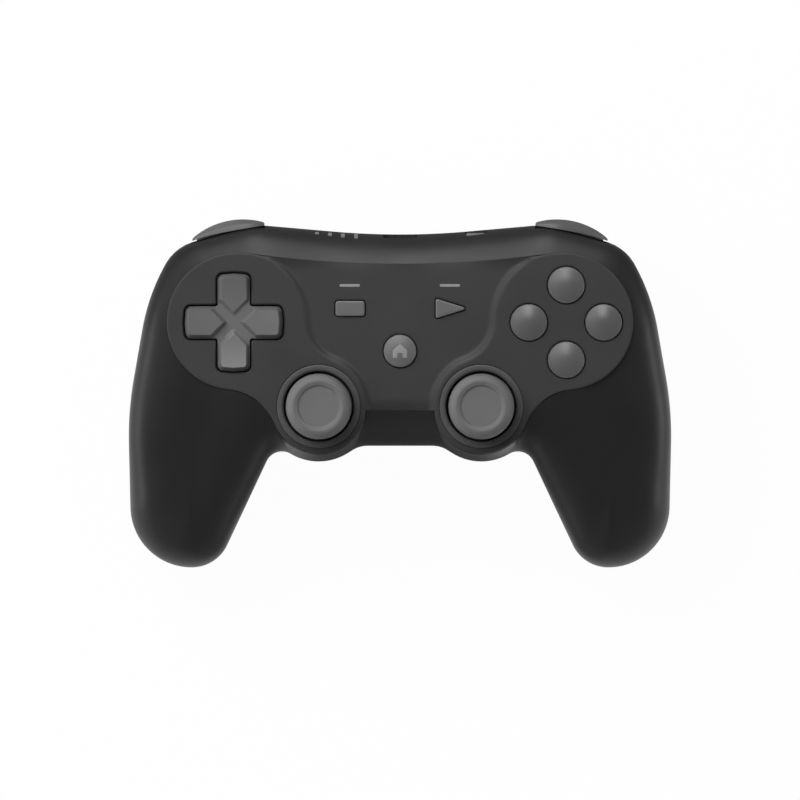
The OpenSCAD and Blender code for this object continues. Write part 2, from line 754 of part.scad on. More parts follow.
switch_d = 3.2;
module bumper_switch() {
    mid = (leg_x0 + leg_x1) / 2;
    y1 = leg_y0 - bumper_travel - 0.3;
    color(metal_colour) translate([mid, y1, board_z]) {
        translate([-3, -1 - switch_d, 0]) cube([6, switch_d, 4.4]);
        translate([0, -1.1, 2.4]) rotate([-90, 0, 0]) cylinder(h = 1.1, r = 1.2);
    }
}

// Trigger: a curved blade on a hinge pin, cut to the shoulder's outline
blade_x0 = pod_x0 + 4;
blade_x1 = pod_x1 - 4;
blade_z0 = 5.4;
pod_pocket_x0 = pod_x0 + 3;
pod_pocket_x1 = pod_x1 - 3;
barrel_end = blade_x1 - 4;
barrel_r = 3;
foot_t = 3.5;

module along_x(x0, x1) {
    translate([x0, 0, 0]) rotate([90, 0, 90]) linear_extrude(x1 - x0) children();
}

module trigger_side_2d() {
    translate([hinge_y, hinge_z]) circle(barrel_r);
    difference() {
        translate([30, 16]) circle(21, $fn = 120);
        translate([21, 15.2]) circle(24.5, $fn = 120);
        translate([0, -20]) square([80, 20 + blade_z0]);
        translate([0, hinge_z + barrel_r]) square([80, 40]);
        translate([0, -20]) square([hinge_y - 1, 80]);
    }
    translate([hinge_y, hinge_z - 2.5]) square([7, barrel_r + 2.5]);
}

module trigger_plan_2d() {
    intersection() {
        translate(front_mid) circle(front_r - 0.8, $fn = 200);
        translate([blade_x0, 30]) square([blade_x1 - blade_x0, 30]);
    }
}

module trigger() {
    color(shell_colour) difference() {
        intersection() {
            along_x(blade_x0, blade_x1) trigger_side_2d();
            linear_extrude(60) trigger_plan_2d();
        }
        along_x(30, 70) translate([hinge_y, hinge_z]) circle(pin_r + pin_play);
        along_x(barrel_end, blade_x1 + 1) translate([hinge_y, hinge_z]) circle(barrel_r + 0.8);
    }
}

module pod_side_2d() {
    difference() {
        translate([pod_y0, 0]) square([19, board_z - board_t - 0.6]);
        difference() {
            translate([43, -1]) square([20, 9]);
            translate([41, 8]) circle(8);
        }
        difference() {
            translate([pod_y0 - 1, -1]) square([7, 7]);
            translate([pod_y0 + 6, 6]) circle(6);
        }
    }
}

module pod_plan_2d() {
    polygon([
        [pod_x0, pod_y0], [pod_x1, pod_y0], [pod_x1, shoulder_y - 7.4], [pod_x1 - 6, shoulder_y - 4.9],
        [pod_x1 - 14, shoulder_y - 2.6], [pod_x0 + 7, shoulder_y - 1.2], [pod_x0, shoulder_y - 1.2]]);
}

module trigger_housing() {
    color(shell_colour) difference() {
        intersection() {
            along_x(pod_x0, pod_x1) pod_side_2d();
            linear_extrude(60) pod_plan_2d();
        }
        translate([pod_pocket_x0, pod_y0 + 5.5, foot_t]) cube([pod_pocket_x1 - pod_pocket_x0, 30, 40]);
        along_x(30, 70) translate([hinge_y, hinge_z]) circle(pin_r + 0.02);
    }
}

module trigger_pin() {
    color(metal_colour) along_x(pod_x0 + 0.5, pod_x1 - 0.5) translate([hinge_y, hinge_z]) circle(pin_r);
}

// Trigger spring: a close coil round the pin
coil_r = 2.1;
wire_r = 0.4;
coil_turns = 3;
coil_pitch = 1;
coil_steps = 14;
wire_sides = 6;
function coil_point(i, k) =
    let (a = 360 * i / coil_steps, b = 360 * k / wire_sides, r = coil_r + wire_r * cos(b))
    let (x = barrel_end + 0.7 + coil_pitch * i / coil_steps + wire_r * sin(b))
    [x, hinge_y + r * cos(a), hinge_z + r * sin(a)];

module trigger_spring() {
    last = coil_turns * coil_steps;
    points = [for (i = [0 : last], k = [0 : wire_sides - 1]) coil_point(i, k)];
    sides = [for (i = [0 : last - 1], k = [0 : wire_sides - 1])
        let (a = i * wire_sides + k, b = i * wire_sides + (k + 1) % wire_sides)
        for (t = [[a, b, b + wire_sides], [a, b + wire_sides, a + wire_sides]]) t];
    start_cap = [for (k = [wire_sides - 1 : -1 : 0]) k];
    end_cap = [for (k = [0 : wire_sides - 1]) last * wire_sides + k];
    color(metal_colour) polyhedron(points, concat(sides, [start_cap, end_cap]));
}

module sync_button() {
    color(control_colour) {
        translate([sync_x, edge_y(sync_x) - 4, sync_z]) rotate([-90, 0, 0])
            linear_extrude(3.6) round_rect_2d(sync_w, sync_h, 1);
        translate([sync_x, sync_y0, sync_z]) rotate([-90, 0, 0])
            cylinder(h = edge_y(sync_x) - 3.5 - sync_y0, r = 1.3);
    }
}

sync_travel = 0.5;
module sync_switch() {
    color(metal_colour) translate([sync_x, sync_y0 - sync_travel - 0.3, board_z]) {
        translate([-3, -1 - switch_d, 0]) cube([6, switch_d, 4.6]);
        translate([0, -1.1, sync_z - board_z]) rotate([-90, 0, 0]) cylinder(h = 1.1, r = 1.2);
    }
}

module indicator_lenses() {
    color("#4a4a4c") for (x = lens_x)
        translate([x - lens_w / 2, edge_y(x) - 4.4, lens_z0]) cube([lens_w, 3.7, lens_h]);
}

port_shell_w = 8;
port_shell_h = 4;
port_y0 = 38;
module charge_port() {
    color(metal_colour) translate([0, port_y0, port_z]) rotate([-90, 0, 0]) {
        difference() {
            linear_extrude(dip_y - 0.8 - port_y0) round_rect_2d(port_shell_w, port_shell_h, 1);
            translate([0, 0, 1]) linear_extrude(20)
                round_rect_2d(port_shell_w - 0.8, port_shell_h - 0.8, 0.7);
        }
        linear_extrude(dip_y - 2.5 - port_y0) square([5, 0.9], center = true);
    }
}

module grown_square(x, y, w, h, c) {
    translate([x - c, y - c]) square([w + 2 * c, h + 2 * c]);
}

board_half = 30;
board_low_y = -2;
board_high_y = 37;
port_tab_half = 6;
cluster_board_r = 16.5;
stick_board_r = 12.6;
tongue_w = leg_x1 - leg_x0 + 3;
module board_2d(c) {
    grown_square(-board_half, board_low_y, 2 * board_half, board_high_y - board_low_y, c);
    grown_square(-port_tab_half, board_high_y - 7, 2 * port_tab_half, dip_y - board_high_y + 3.1, c);
    both_sides() {
        translate([cluster_x, cluster_y]) circle(cluster_board_r + c);
        translate(stick) circle(stick_board_r + c);
        grown_square(stick_x - 3.9, cluster_y - 12.9, cluster_x - stick_x + 5, 14, c);
        grown_square(leg_x0 - 2, cluster_y + 5, tongue_w, leg_y0 - cluster_y - 6.3, c);
    }
}

module main_board() {
    color(board_colour) translate([0, 0, board_z - board_t]) linear_extrude(board_t) difference() {
        board_2d(0);
        for (s = screws) translate([s[0], s[1]]) circle(low_boss_r + 0.5);
    }
}

module battery_pack() {
    color("#6d7a88") translate([0, battery_y, battery_z]) linear_extrude(battery_t)
        round_rect_2d(battery_w, battery_d, 3);
}

shaft_r = 1;
module rumble_motor() {
    color(metal_colour) translate([motor_x, motor_y, motor_z]) rotate([90, 0, 0]) {
        cylinder(h = motor_l, r = motor_r);
        cylinder(h = motor_l + 8, r = shaft_r);
    }
}

module rumble_weight() {
    color("#8c8479") translate([motor_x, motor_y - motor_l - 1.5, motor_z]) rotate([90, 0, 0]) difference() {
        union() {
            cylinder(h = 5, r = 2.6);
            difference() {
                cylinder(h = 5, r = 7.5);
                translate([-20, 0, -1]) cube([40, 20, 10]);
            }
        }
        translate([0, 0, -1]) cylinder(h = 20, r = shaft_r + pin_play);
    }
}

module case_screws() {
    color(metal_colour) for (s = screws) translate([s[0], s[1], 0]) {
        translate([0, 0, s[2] - head_h]) cylinder(h = head_h, r = head_r);
        translate([0, 0, s[2] - 0.5]) cylinder(h = screw_top - s[2] + 0.5, r = screw_r);
    }
}

module left() {
    mirror([1, 0, 0]) children();
}

upper_shell();
lower_shell();
face_plate();
left() stick_ring();  // stick_ring_left
stick_ring();  // stick_ring_right
dpad();
dpad_bead();
dpad_post();
dpad_membrane();
face_button(0);  // button_top
face_button(1);  // button_right
face_button(2);  // button_bottom
face_button(3);  // button_left
face_membrane();
select_button();
start_button();
home_button();
centre_membrane();
left() thumbstick();  // thumbstick_left
left() stick_pivot();  // stick_pivot_left
left() stick_yoke();  // stick_yoke_left
left() stick_base();  // stick_base_left
thumbstick();  // thumbstick_right
stick_pivot();  // stick_pivot_right
stick_yoke();  // stick_yoke_right
stick_base();  // stick_base_right
left() bumper();  // bumper_left
bumper();  // bumper_right
left() bumper_switch();  // bumper_switch_left
bumper_switch();  // bumper_switch_right
left() trigger();  // trigger_left
trigger();  // trigger_right
left() trigger_housing();  // trigger_housing_left
trigger_housing();  // trigger_housing_right
left() trigger_pin();  // trigger_pin_left
trigger_pin();  // trigger_pin_right
left() trigger_spring();  // trigger_spring_left
trigger_spring();  // trigger_spring_right
sync_button();
sync_switch();
indicator_lenses();
charge_port();
main_board();
battery_pack();
left() rumble_motor();  // rumble_motor_left
rumble_motor();  // rumble_motor_right
left() rumble_weight();  // rumble_weight_left
rumble_weight();  // rumble_weight_right
case_screws();
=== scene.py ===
"""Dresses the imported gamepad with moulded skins, controls and finishes, and sets a plain white studio.

Lengths in the geometry are millimetres in the part's own frame: +X to the player's right, +Y to the shoulder
edge, +Z out of the face. Meshes are scaled to metres when they are made.
"""

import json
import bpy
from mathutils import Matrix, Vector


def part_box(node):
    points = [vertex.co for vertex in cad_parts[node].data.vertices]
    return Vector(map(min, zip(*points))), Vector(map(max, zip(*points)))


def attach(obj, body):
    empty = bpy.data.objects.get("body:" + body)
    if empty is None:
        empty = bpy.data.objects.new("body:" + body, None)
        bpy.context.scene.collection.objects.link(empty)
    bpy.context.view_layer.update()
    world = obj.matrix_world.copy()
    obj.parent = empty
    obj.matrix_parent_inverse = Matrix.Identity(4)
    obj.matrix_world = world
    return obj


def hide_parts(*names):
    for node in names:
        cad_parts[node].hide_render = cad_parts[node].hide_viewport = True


bl_info = {
    "name": "Gamepad dresser",
    "version": (1, 0, 0),
    "blender": (4, 5, 0),
    "location": "3D View > Sidebar > Gamepad",
    "description": "Builds the moulded skins, controls and finishes of a two-stick gamepad",
    "category": "Object",
}

import bmesh
import bpy
import numpy as np
from mathutils import Vector
from mathutils.bvhtree import BVHTree
from mathutils.geometry import delaunay_2d_cdt

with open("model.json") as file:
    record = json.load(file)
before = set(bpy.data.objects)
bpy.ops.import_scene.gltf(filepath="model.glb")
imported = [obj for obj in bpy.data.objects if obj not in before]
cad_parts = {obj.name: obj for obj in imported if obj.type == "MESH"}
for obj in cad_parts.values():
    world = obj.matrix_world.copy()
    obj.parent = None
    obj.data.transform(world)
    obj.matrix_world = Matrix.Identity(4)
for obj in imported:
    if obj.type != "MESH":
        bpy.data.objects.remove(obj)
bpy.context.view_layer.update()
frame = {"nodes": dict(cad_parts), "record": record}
MM = 0.001
SIDES = (("left", -1), ("right", 1))


def box_mm(node):
    """Lowest and highest corner of a CAD node, in millimetres."""
    low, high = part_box(node)
    return np.array(low) / MM, np.array(high) / MM


def middle_mm(node):
    """Middle of a CAD node's box, in millimetres."""
    low, high = box_mm(node)
    return (low + high) / 2


def half_width_mm(node):
    """Half the width of a CAD node along X, in millimetres."""
    low, high = box_mm(node)
    return (high[0] - low[0]) / 2


# Places taken from the frame
STICK = middle_mm("stick_ring_right")[:2]
CAP_TOP = box_mm("thumbstick_right")[1][2]
RING_R = half_width_mm("stick_ring_right")
RING_SEAT, RING_TOP = (corner[2] for corner in box_mm("stick_ring_right"))
PLATE_SEAT, ISLAND_TOP = (corner[2] for corner in box_mm("face_plate"))
DPAD = middle_mm("dpad")[:2]
HOME = middle_mm("home_button")
SELECT = middle_mm("select_button")
FEET = 0.0

# Housing outline: corner, rounding and the station along the spine where the corner's middle sits
OUTER_CORNERS = (
    (44.0, 49.8, 20.0, 0.33), (66.6, 43.0, 14.0, 0.43), (74.3, 28.3, 60.0, 0.5),
    (80.1, -5.0, 100.0, 0.68), (79.2, -51.3, 18.0, 0.88))
INNER_CORNERS = (
    (11.9, -15.4, 8.0, 0.065), (23.9, -22.9, 16.2, 0.17), (36.9, -14.9, 5.0, 0.4),
    (54.1, -51.3, 11.5, 0.9))
DIP_Y, DIP_CORNER_Y, DIP_RADIUS = 46.9, 46.08, 226.0
CHIN_Y = -15.4
GRIP_TIP = (61.6, -51.3)
SPINE_END = (62.0, -34.0)
SPINE_START_Y, SPINE_ROUND, TIP_EASE = 17.0, 0.714, 0.12
SEAM_Z, SEAM_DROP, SEAM_GAP = 27.0, 10.0, 0.3
CROWN_Z, CROWN_DROP = 46.8, 14.8
BELLY_Z, FOOT_CUT = 13.0, 0.5
WALL, ROOF_Z = 2.2, 37.5
SECTIONS, STEPS, ARC_POINTS = 120, 30, 33

# Case screws: place and the height of the head's seat
SCREW_HEAD_R = 2.8
SCREWS = ((32, 36, 20), (-32, 36, 20), (62, -8, 12), (-62, -8, 12), (0, -6.5, 21))

# Face plate: discs and fillets of its outline, the panel's arc and level
ISLAND, ISLAND_R = np.array([48.4, 21.2]), 20.2
STICK_ISLAND_R, LOW_FILLET, HIGH_FILLET = 13.9, 17.2, 13.0
PANEL_TOP_R, PANEL_TOP_Y, PANEL_LOW_Y, PANEL_HALF = 320.0, 38.1, -5.0, 45.0
PANEL_Z = 41.0
PLATE_GAP, WELL_GAP = 0.05, 0.02

# Islands' step: how far out its middle lies, how much further it lies by the panel, and its width
STEP_OUT, STEP_OUT_MORE, STEP_BAND = 0.6, 0.45, 1.7

# Where the panel runs on into the shell: its depth, the x where it ends, its fade and the lip past the edge
RUN_ON, RUN_ON_X, RUN_ON_FADE, RUN_ON_LIP = 3.5, 42.0, 5.0, 0.06

# Thumbsticks and their wells: radii and heights
BARREL_LOW_R, BARREL_TOP_R = 15.95, 13.95
DOME_HOLE_R, RING_IN_R = 11.5, 10.35
CAP_R, CREST_R, DISH_R, DISH_DEPTH = 9.65, 7.2, 5.9, 0.8
RIM_DROP, STEM_R, STEM_LOW_Z = 3.4, 3.4, 43.5
PIVOT_Z, DOME_R, DOME_WALL = 33.0, 11.0, 1.0

# D-pad: the cross, the bulge of its arms' ends and the raised pads, dished most on the upright arms
DPAD_SPAN, DPAD_ARM, DPAD_GAP, PAD_CHAMFER = 28.9, 9.5, 0.4, 0.45
ARM_BULGE, ARM_BULGE_R = 0.4, 9.0
PAD_TIP, PAD_MARGIN, PAD_RISE, PAD_GROOVE = 1.85, 0.2, 1.5, 1.0
PAD_DISH = (1.9, 0.9)

# Buttons and printed marks; the house has x, y and rounding of each corner
BUTTONS = ("top", "right", "bottom", "left")
BUTTON_R, BUTTON_GAP, BUTTON_ROOM = 5.4, 0.25, 1.5
HOME_R, HOME_DOME = 4.8, 14.0
HOUSE = (
    (0, 2.05, 0.1), (2.1, 0.25, 0.15), (2.1, -2.05, 0.1), (0.75, -2.05, 0.3), (0.75, -0.55, 0.3),
    (-0.75, -0.55, 0.1), (-0.75, -2.05, 0.15), (-2.1, -2.05, 0.1), (-2.1, 0.25, 0.1))
SELECT_W, SELECT_H = 8.6, 4.5
START_PLACE = np.array([14.7, 25.0])
START_CORE, START_ROUND = ((-3.75, 2.4), (-3.75, -2.4), (3.9, 0.0)), 0.45
MARK_X = {"select_mark": -14.8, "start_mark": 14.7}
MARK_Y, MARK_W, MARK_H = 31.8, 6.0, 0.8

# Bumpers: three points on the inner and the front line, heights, room, rounding, the back's lean in degrees,
# and the section as shares of its depth and height with rounding
BUMPER_INNER = ((39.8, 49.3), (48.8, 47.85), (61.3, 44.7))
BUMPER_FRONT = ((40.2, 50.5), (47.0, 51.3), (60.8, 46.0))
BUMPER_LOW, BUMPER_TOP, BUMPER_AXIS = 28.5, 36.6, 35.5
BUMPER_GAP, BUMPER_SWING, BUMPER_END, BUMPER_ROOM = 0.12, 1.0, 0.1, 0.8
BUMPER_ROUND, BUMPER_LEAN = 0.6, 6.5
BUMPER_SECTION = (
    (0, 0, 0), (0, 0.975, 0.02), (0.05, 1, 0.03), (0.5, 0.96, 0.05), (0.98, 0.56, 0.06), (1, 0.3, 0.1),
    (1, 0, 0))

# Shoulder fittings
LENS_X = (-24.4, -20.6, -16.8, -12.9)
LENS_Z, LENS_W, LENS_H, LENS_ROUND, LENS_LINE_R = 31.4, 1.35, 3.8, 0.2, 320.0
SYNC_W, SYNC_H = 6.0, 3.4
PORT_W, PORT_H = 8.0, 4.0

# Triggers: the hinge in y and z, and the blade's arcs as centre, radius, first and last degree
HINGE = np.array([41.5, 23.0])
BORE_R, PIN_HOLE_R, SPRING_R = 1.56, 1.52, 3.7
BLADE_ARCS = (((30, 16), 21, 28.4, -30.3), ((21, 15.2), 24.5, -23.6, 12), (HINGE, 3, -90, -270))
BLADE_ROUND, BLADE_REACH_Y = 1.2, 51.0

# Studio: lamps and camera in metres, the floor in millimetres, and its levels as gloss sees it
KEY_PLACE, SHEEN_PLACE = (-0.64, 0.62, 0.88), (0.0, 0.95, 0.74)
GLINT_SHARE, STRIP_SHARE = 0.24, 0.11
FLOOR_HALF = 4000.0
FLOOR_DIM, FLOOR_BRIGHT = 0.22, 0.78
CAMERA_Y = -0.0019


def unit(v):
    """A vector, or each row of an array, scaled to length one."""
    return v / np.linalg.norm(v, axis=-1, keepdims=True)


def smooth(t):
    """Cubic ease from 0 to 1: 3t^2 - 2t^3 with t held between 0 and 1."""
    t = np.clip(t, 0.0, 1.0)
    return t * t * (3 - 2 * t)


def swing(centre, radius, start, finish, count=ARC_POINTS):
    """Points on a circle between two angles in degrees."""
    angle = np.radians(np.linspace(start, finish, count))
    return np.asarray(centre) + radius * np.stack([np.cos(angle), np.sin(angle)], axis=-1)


def heading(a, b):
    """Angle in degrees of the way from point a to point b."""
    d = np.asarray(b) - np.asarray(a)
    return np.degrees(np.arctan2(d[1], d[0]))


def short_turn(start, finish):
    """Degrees from one heading to another, the short way round."""
    return (finish - start + 180) % 360 - 180


def corner_arc(before, corner, after, radius, count):
    """The arc of that radius that touches both sides of a corner, centred on the corner's bisector."""
    before, corner, after = (np.asarray(p, float) for p in (before, corner, after))
    u, v = unit(before - corner), unit(after - corner)
    half = np.arccos(np.clip(u @ v, -1, 1)) / 2
    mid = corner + unit(u + v) * radius / np.sin(half)
    start = heading(mid, corner + u * radius / np.tan(half))
    turn = short_turn(start, heading(mid, corner + v * radius / np.tan(half)))
    return swing(mid, radius, start, start + turn, count)


def rounded_loop(corners, radii, count=9):
    """A closed loop through corners, each rounded by its own radius."""
    total = len(corners)
    return np.concatenate([
        corner_arc(corners[i - 1], corners[i], corners[(i + 1) % total], radii[i], count)
        for i in range(total)])


def lengths_along(path):
    """Length from the start of a path to each of its points."""
    return np.concatenate([[0], np.cumsum(np.linalg.norm(np.diff(path, axis=0), axis=1))])


def points_at(at, along, path):
    """Points of a path at given lengths along it."""
    return np.stack([np.interp(at, along, path[:, k]) for k in (0, 1)], axis=-1)


def respaced(loop, spacing):
    """A closed loop resampled at even steps of its length."""
    ring = np.vstack([loop, loop[:1]])
    along = lengths_along(ring)
    at = np.linspace(0, along[-1], max(12, int(round(along[-1] / spacing))), endpoint=False)
    return points_at(at, along, ring)


def winding(loop):
    """Twice the signed area of a loop, positive when it runs anticlockwise."""
    x, y = loop.T
    return np.sum(x * np.roll(y, -1) - y * np.roll(x, -1))


def moved(loop, distance):
    """A loop moved outwards along its normals, or inwards by a negative distance."""
    tangent = unit(np.roll(loop, -1, axis=0) - np.roll(loop, 1, axis=0))
    outwards = np.stack([tangent[:, 1], -tangent[:, 0]], axis=-1) * np.sign(winding(loop))
    return loop + distance * outwards


def depth_inside(points, loop):
    """Distance of points from a closed loop: positive inside it, negative outside."""
    a, b = loop, np.roll(loop, -1, axis=0)
    side = b - a
    result = np.empty(len(points))
    for part in np.array_split(np.arange(len(points)), max(1, len(points) * len(loop) // 2000000)):
        p = points[part][:, None, :]
        t = np.clip(np.sum((p - a) * side, axis=-1) / np.sum(side * side, axis=-1), 0, 1)
        gap = np.min(np.linalg.norm(p - a - t[..., None] * side, axis=-1), axis=1)
        crosses = (a[:, 1] > p[..., 1]) != (b[:, 1] > p[..., 1])
        run = np.where(side[:, 1] == 0, 1, side[:, 1])
        left = p[..., 0] < a[:, 0] + (p[..., 1] - a[:, 1]) * side[:, 0] / run
        inside = np.sum(crosses & left, axis=1) % 2 == 1
        result[part] = np.where(inside, gap, -gap)
    return result


def quarter_turned(points, k):
    """Points turned about the origin by k quarter turns."""
    c, d = np.cos(k * np.pi / 2), np.sin(k * np.pi / 2)
    return np.asarray(points) @ np.array([[c, d], [-d, c]])


def raised_cosine(reach):
    """Weights of a smoothing window: 1 + cos over one turn, scaled to a sum of one."""
    window = 1 + np.cos(np.linspace(-np.pi, np.pi, 2 * reach + 3)[1:-1])
    return window / window.sum()


def softened(values, reach=7):
    """A rising row of numbers smoothed by a raised-cosine window, its ends held."""
    front = 2 * values[0] - values[reach:0:-1]
    back = 2 * values[-1] - values[-2:-reach - 2:-1]
    return np.convolve(np.concatenate([front, values, back]), raised_cosine(reach), mode="valid")


def rounded_off(loop, reach):
    """A closed loop of even steps with eased corners: each point is a raised-cosine mean of neighbours."""
    weights = raised_cosine(reach)
    return sum(weight * np.roll(loop, k - reach, axis=0) for k, weight in enumerate(weights))


def circle_through(a, b, c):
    """Centre and radius of the circle through three points, from the two lines that bisect its chords."""
    a, b, c = (np.array(p, float) for p in (a, b, c))
    centre = np.linalg.solve(2 * np.array([b - a, c - a]), np.array([b @ b - a @ a, c @ c - a @ a]))
    return centre, np.linalg.norm(a - centre)


def on_circle(x, centre, radius):
    """Upper height of a circle over x."""
    return centre[1] + np.sqrt(radius ** 2 - (x - centre[0]) ** 2)


def edge_drop(depth, radius):
    """How far a rounded edge lies under its flat: r - sqrt(r^2 - (r - d)^2) at depth d from the wall."""
    short = np.clip(radius - depth, 0, radius)
    return radius - np.sqrt(radius * radius - short * short)


def rounded_stations(low, high, r, count):
    """Places along X between two ends, closer over their rounding, and how far it draws in at each."""
    bend = r * (1 - np.cos(np.radians(np.arange(0, 90, 15))))
    x = np.concatenate([low + bend, np.linspace(low + r, high - r, count), (high - bend)[::-1]])
    return x, edge_drop(np.minimum(x - low, high - x), r)


def domed(r, top, dome, low, edge):
    """Profile of a round button: a spherical top, a rounded edge and a straight side."""
    a = np.linspace(0, np.arcsin((r - edge) / dome), 18)
    cap = np.stack([dome * np.sin(a), top - dome * (1 - np.cos(a))], axis=-1)
    slope = a[-1]
    b = np.linspace(slope, np.pi / 2, 7)[1:]
    middle = cap[-1] - edge * np.array([np.sin(slope), np.cos(slope)])
    corner = middle + edge * np.stack([np.sin(b), np.cos(b)], axis=-1)
    corner[:, 0] *= r / corner[-1, 0]
    return np.concatenate([cap, corner, [(r, low), (0, low)]])


def grid_faces(rows, columns, wrap=False):
    """Quads between neighbours in a grid of points; wrap joins the last column to the first."""
    index = np.arange(rows * columns).reshape(rows, columns)
    if wrap:
        index = np.column_stack([index, index[:, 0]])
    quads = np.stack([index[:-1, :-1], index[1:, :-1], index[1:, 1:], index[:-1, 1:]], axis=-1)
    return quads.reshape(-1, 4)


def joined(*parts):
    """Several sets of vertices and faces as one."""
    vertices, faces, first = [], [], 0
    for points, polygons in parts:
        vertices.append(points)
        faces.extend([[i + first for i in face] for face in polygons])
        first += len(points)
    return np.concatenate(vertices), faces


def sheet_of(grid, wrap=False):
    """A grid of points as vertices and faces."""
    rows, columns = grid.shape[:2]
    return grid.reshape(-1, 3), grid_faces(rows, columns, wrap=wrap).tolist()


def lathe(profile, centre, turns=128):
    """A profile of radius and height carried round an upright axis: x = r cos a, y = r sin a."""
    angle = np.linspace(0, 2 * np.pi, turns, endpoint=False)
    r, z = np.asarray(profile, float).T
    grid = np.stack([
        centre[0] + r[:, None] * np.cos(angle), centre[1] + r[:, None] * np.sin(angle),
        z[:, None] + 0 * angle], axis=-1)
    return sheet_of(grid, wrap=True)


def prism(loop, low, high):
    """A closed loop carried straight up from low to high, with flat ends."""
    count = len(loop)
    points = np.concatenate([np.column_stack([loop, np.full(count, z)]) for z in (low, high)])
    sides = grid_faces(2, count, wrap=True).tolist()
    return points, sides + [list(range(count))[::-1], list(range(count, 2 * count))]


def capped(grid):
    """A grid of closed rings, with its first and last ring filled."""
    rows, columns = grid.shape[:2]
    points, faces = sheet_of(grid, wrap=True)
    first = list(range(columns))
    return points, faces + [first[::-1], [i + (rows - 1) * columns for i in first]]


def along_x(profile, centre):
    """A profile of radius and x turned about a level axis along X through a point of y and z."""
    points, faces = lathe(profile, (0, 0), 48)
    return points[:, [2, 0, 1]] + (0, *centre), faces


def along_y(loop, stations, place):
    """A loop of width and height carried along Y; stations give y and how far the loop shrinks there."""
    rings = [np.insert(moved(loop, -shrink), 1, y, axis=1) for y, shrink in stations]
    return capped(np.stack(rings) + (place[0], 0, place[2]))


def box_loop(width, height, r, count=9):
    """A rounded rectangle about the origin."""
    w, h = width / 2, height / 2
    return rounded_loop([(w, h), (-w, h), (-w, -h), (w, -h)], [r] * 4, count)


def path_profile(corners, count=7):
    """An open profile through corners of radius, height and rounding."""
    corners = np.asarray(corners, float)
    pieces = [corners[:1, :2]]
    for i in range(1, len(corners) - 1):
        a, b, c = corners[i - 1, :2], corners[i, :2], corners[i + 1, :2]
        pieces.append(corner_arc(a, b, c, corners[i, 2], count) if corners[i, 2] > 0 else b[None])
    return np.concatenate(pieces + [corners[-1:, :2]])


def flat_at(z):
    """A height that is the same at every point."""
    return lambda x, y: np.full_like(x, z)


def relief(loops, height, floor, round_r, spacing, extra=(), share=None):
    """A plate cut along loops, the first its outline and the rest its holes.

    Points stand on each loop, on copies of it stepped in over the rounded edge, on extra loops where the
    height turns sharply, and on a square lattice inside. Triangles join them, height(x, y) lifts them and
    lowers them by the rounded edge, or by a share of it, and walls drop from each loop to a flat floor.
    """
    fine = spacing * 0.6
    fences = [respaced(np.asarray(loop), fine) for loop in loops]
    steps = round_r * (1 - np.cos(np.radians([0, 25, 50, 70, 90])))
    rows = [moved(fence, (-d if k == 0 else d)) for k, fence in enumerate(fences) for d in steps]
    rows += [respaced(np.asarray(loop), fine) for loop in extra]

    def depth(points):
        inside = [depth_inside(points, fences[0])] + [-depth_inside(points, hole) for hole in fences[1:]]
        return np.min(inside, axis=0)

    ticks = [np.arange(a, b, spacing) for a, b in zip(fences[0].min(axis=0), fences[0].max(axis=0))]
    lattice = np.stack(np.meshgrid(*ticks), -1).reshape(-1, 2)
    lattice = lattice[depth(lattice) > round_r + spacing * 0.4]
    for loop in extra:
        lattice = lattice[np.abs(depth_inside(lattice, np.asarray(loop))) > spacing * 0.35]
    starts = np.cumsum([0] + [len(row) for row in rows])
    pairs = []
    for first, row in zip(starts, rows):
        index = first + np.arange(len(row))
        pairs += np.stack([index, np.roll(index, -1)], axis=-1).tolist()
    flat = np.concatenate(rows + [lattice])
    found = delaunay_2d_cdt([Vector(p) for p in flat.tolist()], pairs, [], 0, 1e-7)
    points = np.array([tuple(p) for p in found[0]])
    triangles = np.array(found[2])
    triangles = triangles[depth(points[triangles].mean(axis=1)) > 0]
    place = np.zeros(len(flat), int)
    for new, olds in enumerate(found[3]):
        place[olds] = new
    drop = edge_drop(np.maximum(depth(points), 0), round_r)
    if share:
        drop = drop * share(points[:, 0], points[:, 1])
    z = height(points[:, 0], points[:, 1]) - drop
    count = len(points)
    vertices = np.concatenate([np.column_stack([points, level]) for level in (z, np.full(count, floor))])
    faces = triangles.tolist() + (triangles[:, ::-1] + count).tolist()
    for k, fence in enumerate(fences):
        first = starts[k * len(steps)]
        ring = place[first:first + len(fence)]
        after = np.roll(ring, -1)
        faces += np.stack([ring, after, after + count, ring + count], axis=-1).tolist()
    return vertices, faces


def loose_mesh(name, vertices, faces):
    """A linked object from points in millimetres, welded and with its faces turned outwards."""
    mesh = bpy.data.meshes.new(name)
    mesh.from_pydata((np.asarray(vertices) * MM).tolist(), [], faces)
    work = bmesh.new()
    work.from_mesh(mesh)
    bmesh.ops.remove_doubles(work, verts=work.verts, dist=2e-6)
    bmesh.ops.dissolve_degenerate(work, edges=work.edges, dist=1e-7)
    loose = [v for v in work.verts if not v.link_faces]
    bmesh.ops.delete(work, geom=loose, context="VERTS")
    bmesh.ops.recalc_face_normals(work, faces=work.faces)
    work.to_mesh(mesh)
    work.free()
    piece = bpy.data.objects.new(name, mesh)
    bpy.context.scene.collection.objects.link(piece)
    return piece


def combined(piece, tool, operation):
    """Adds a tool's volume to a piece, or takes it away, and removes the tool."""
    cut = piece.modifiers.new(operation, "BOOLEAN")
    cut.operation, cut.solver, cut.object = operation, "EXACT", tool
    ready = piece.evaluated_get(bpy.context.evaluated_depsgraph_get())
    old, piece.data = piece.data, bpy.data.meshes.new_from_object(ready)
    piece.modifiers.clear()
    tool_mesh = tool.data
    bpy.data.objects.remove(tool)
    bpy.data.meshes.remove(tool_mesh)
    bpy.data.meshes.remove(old)


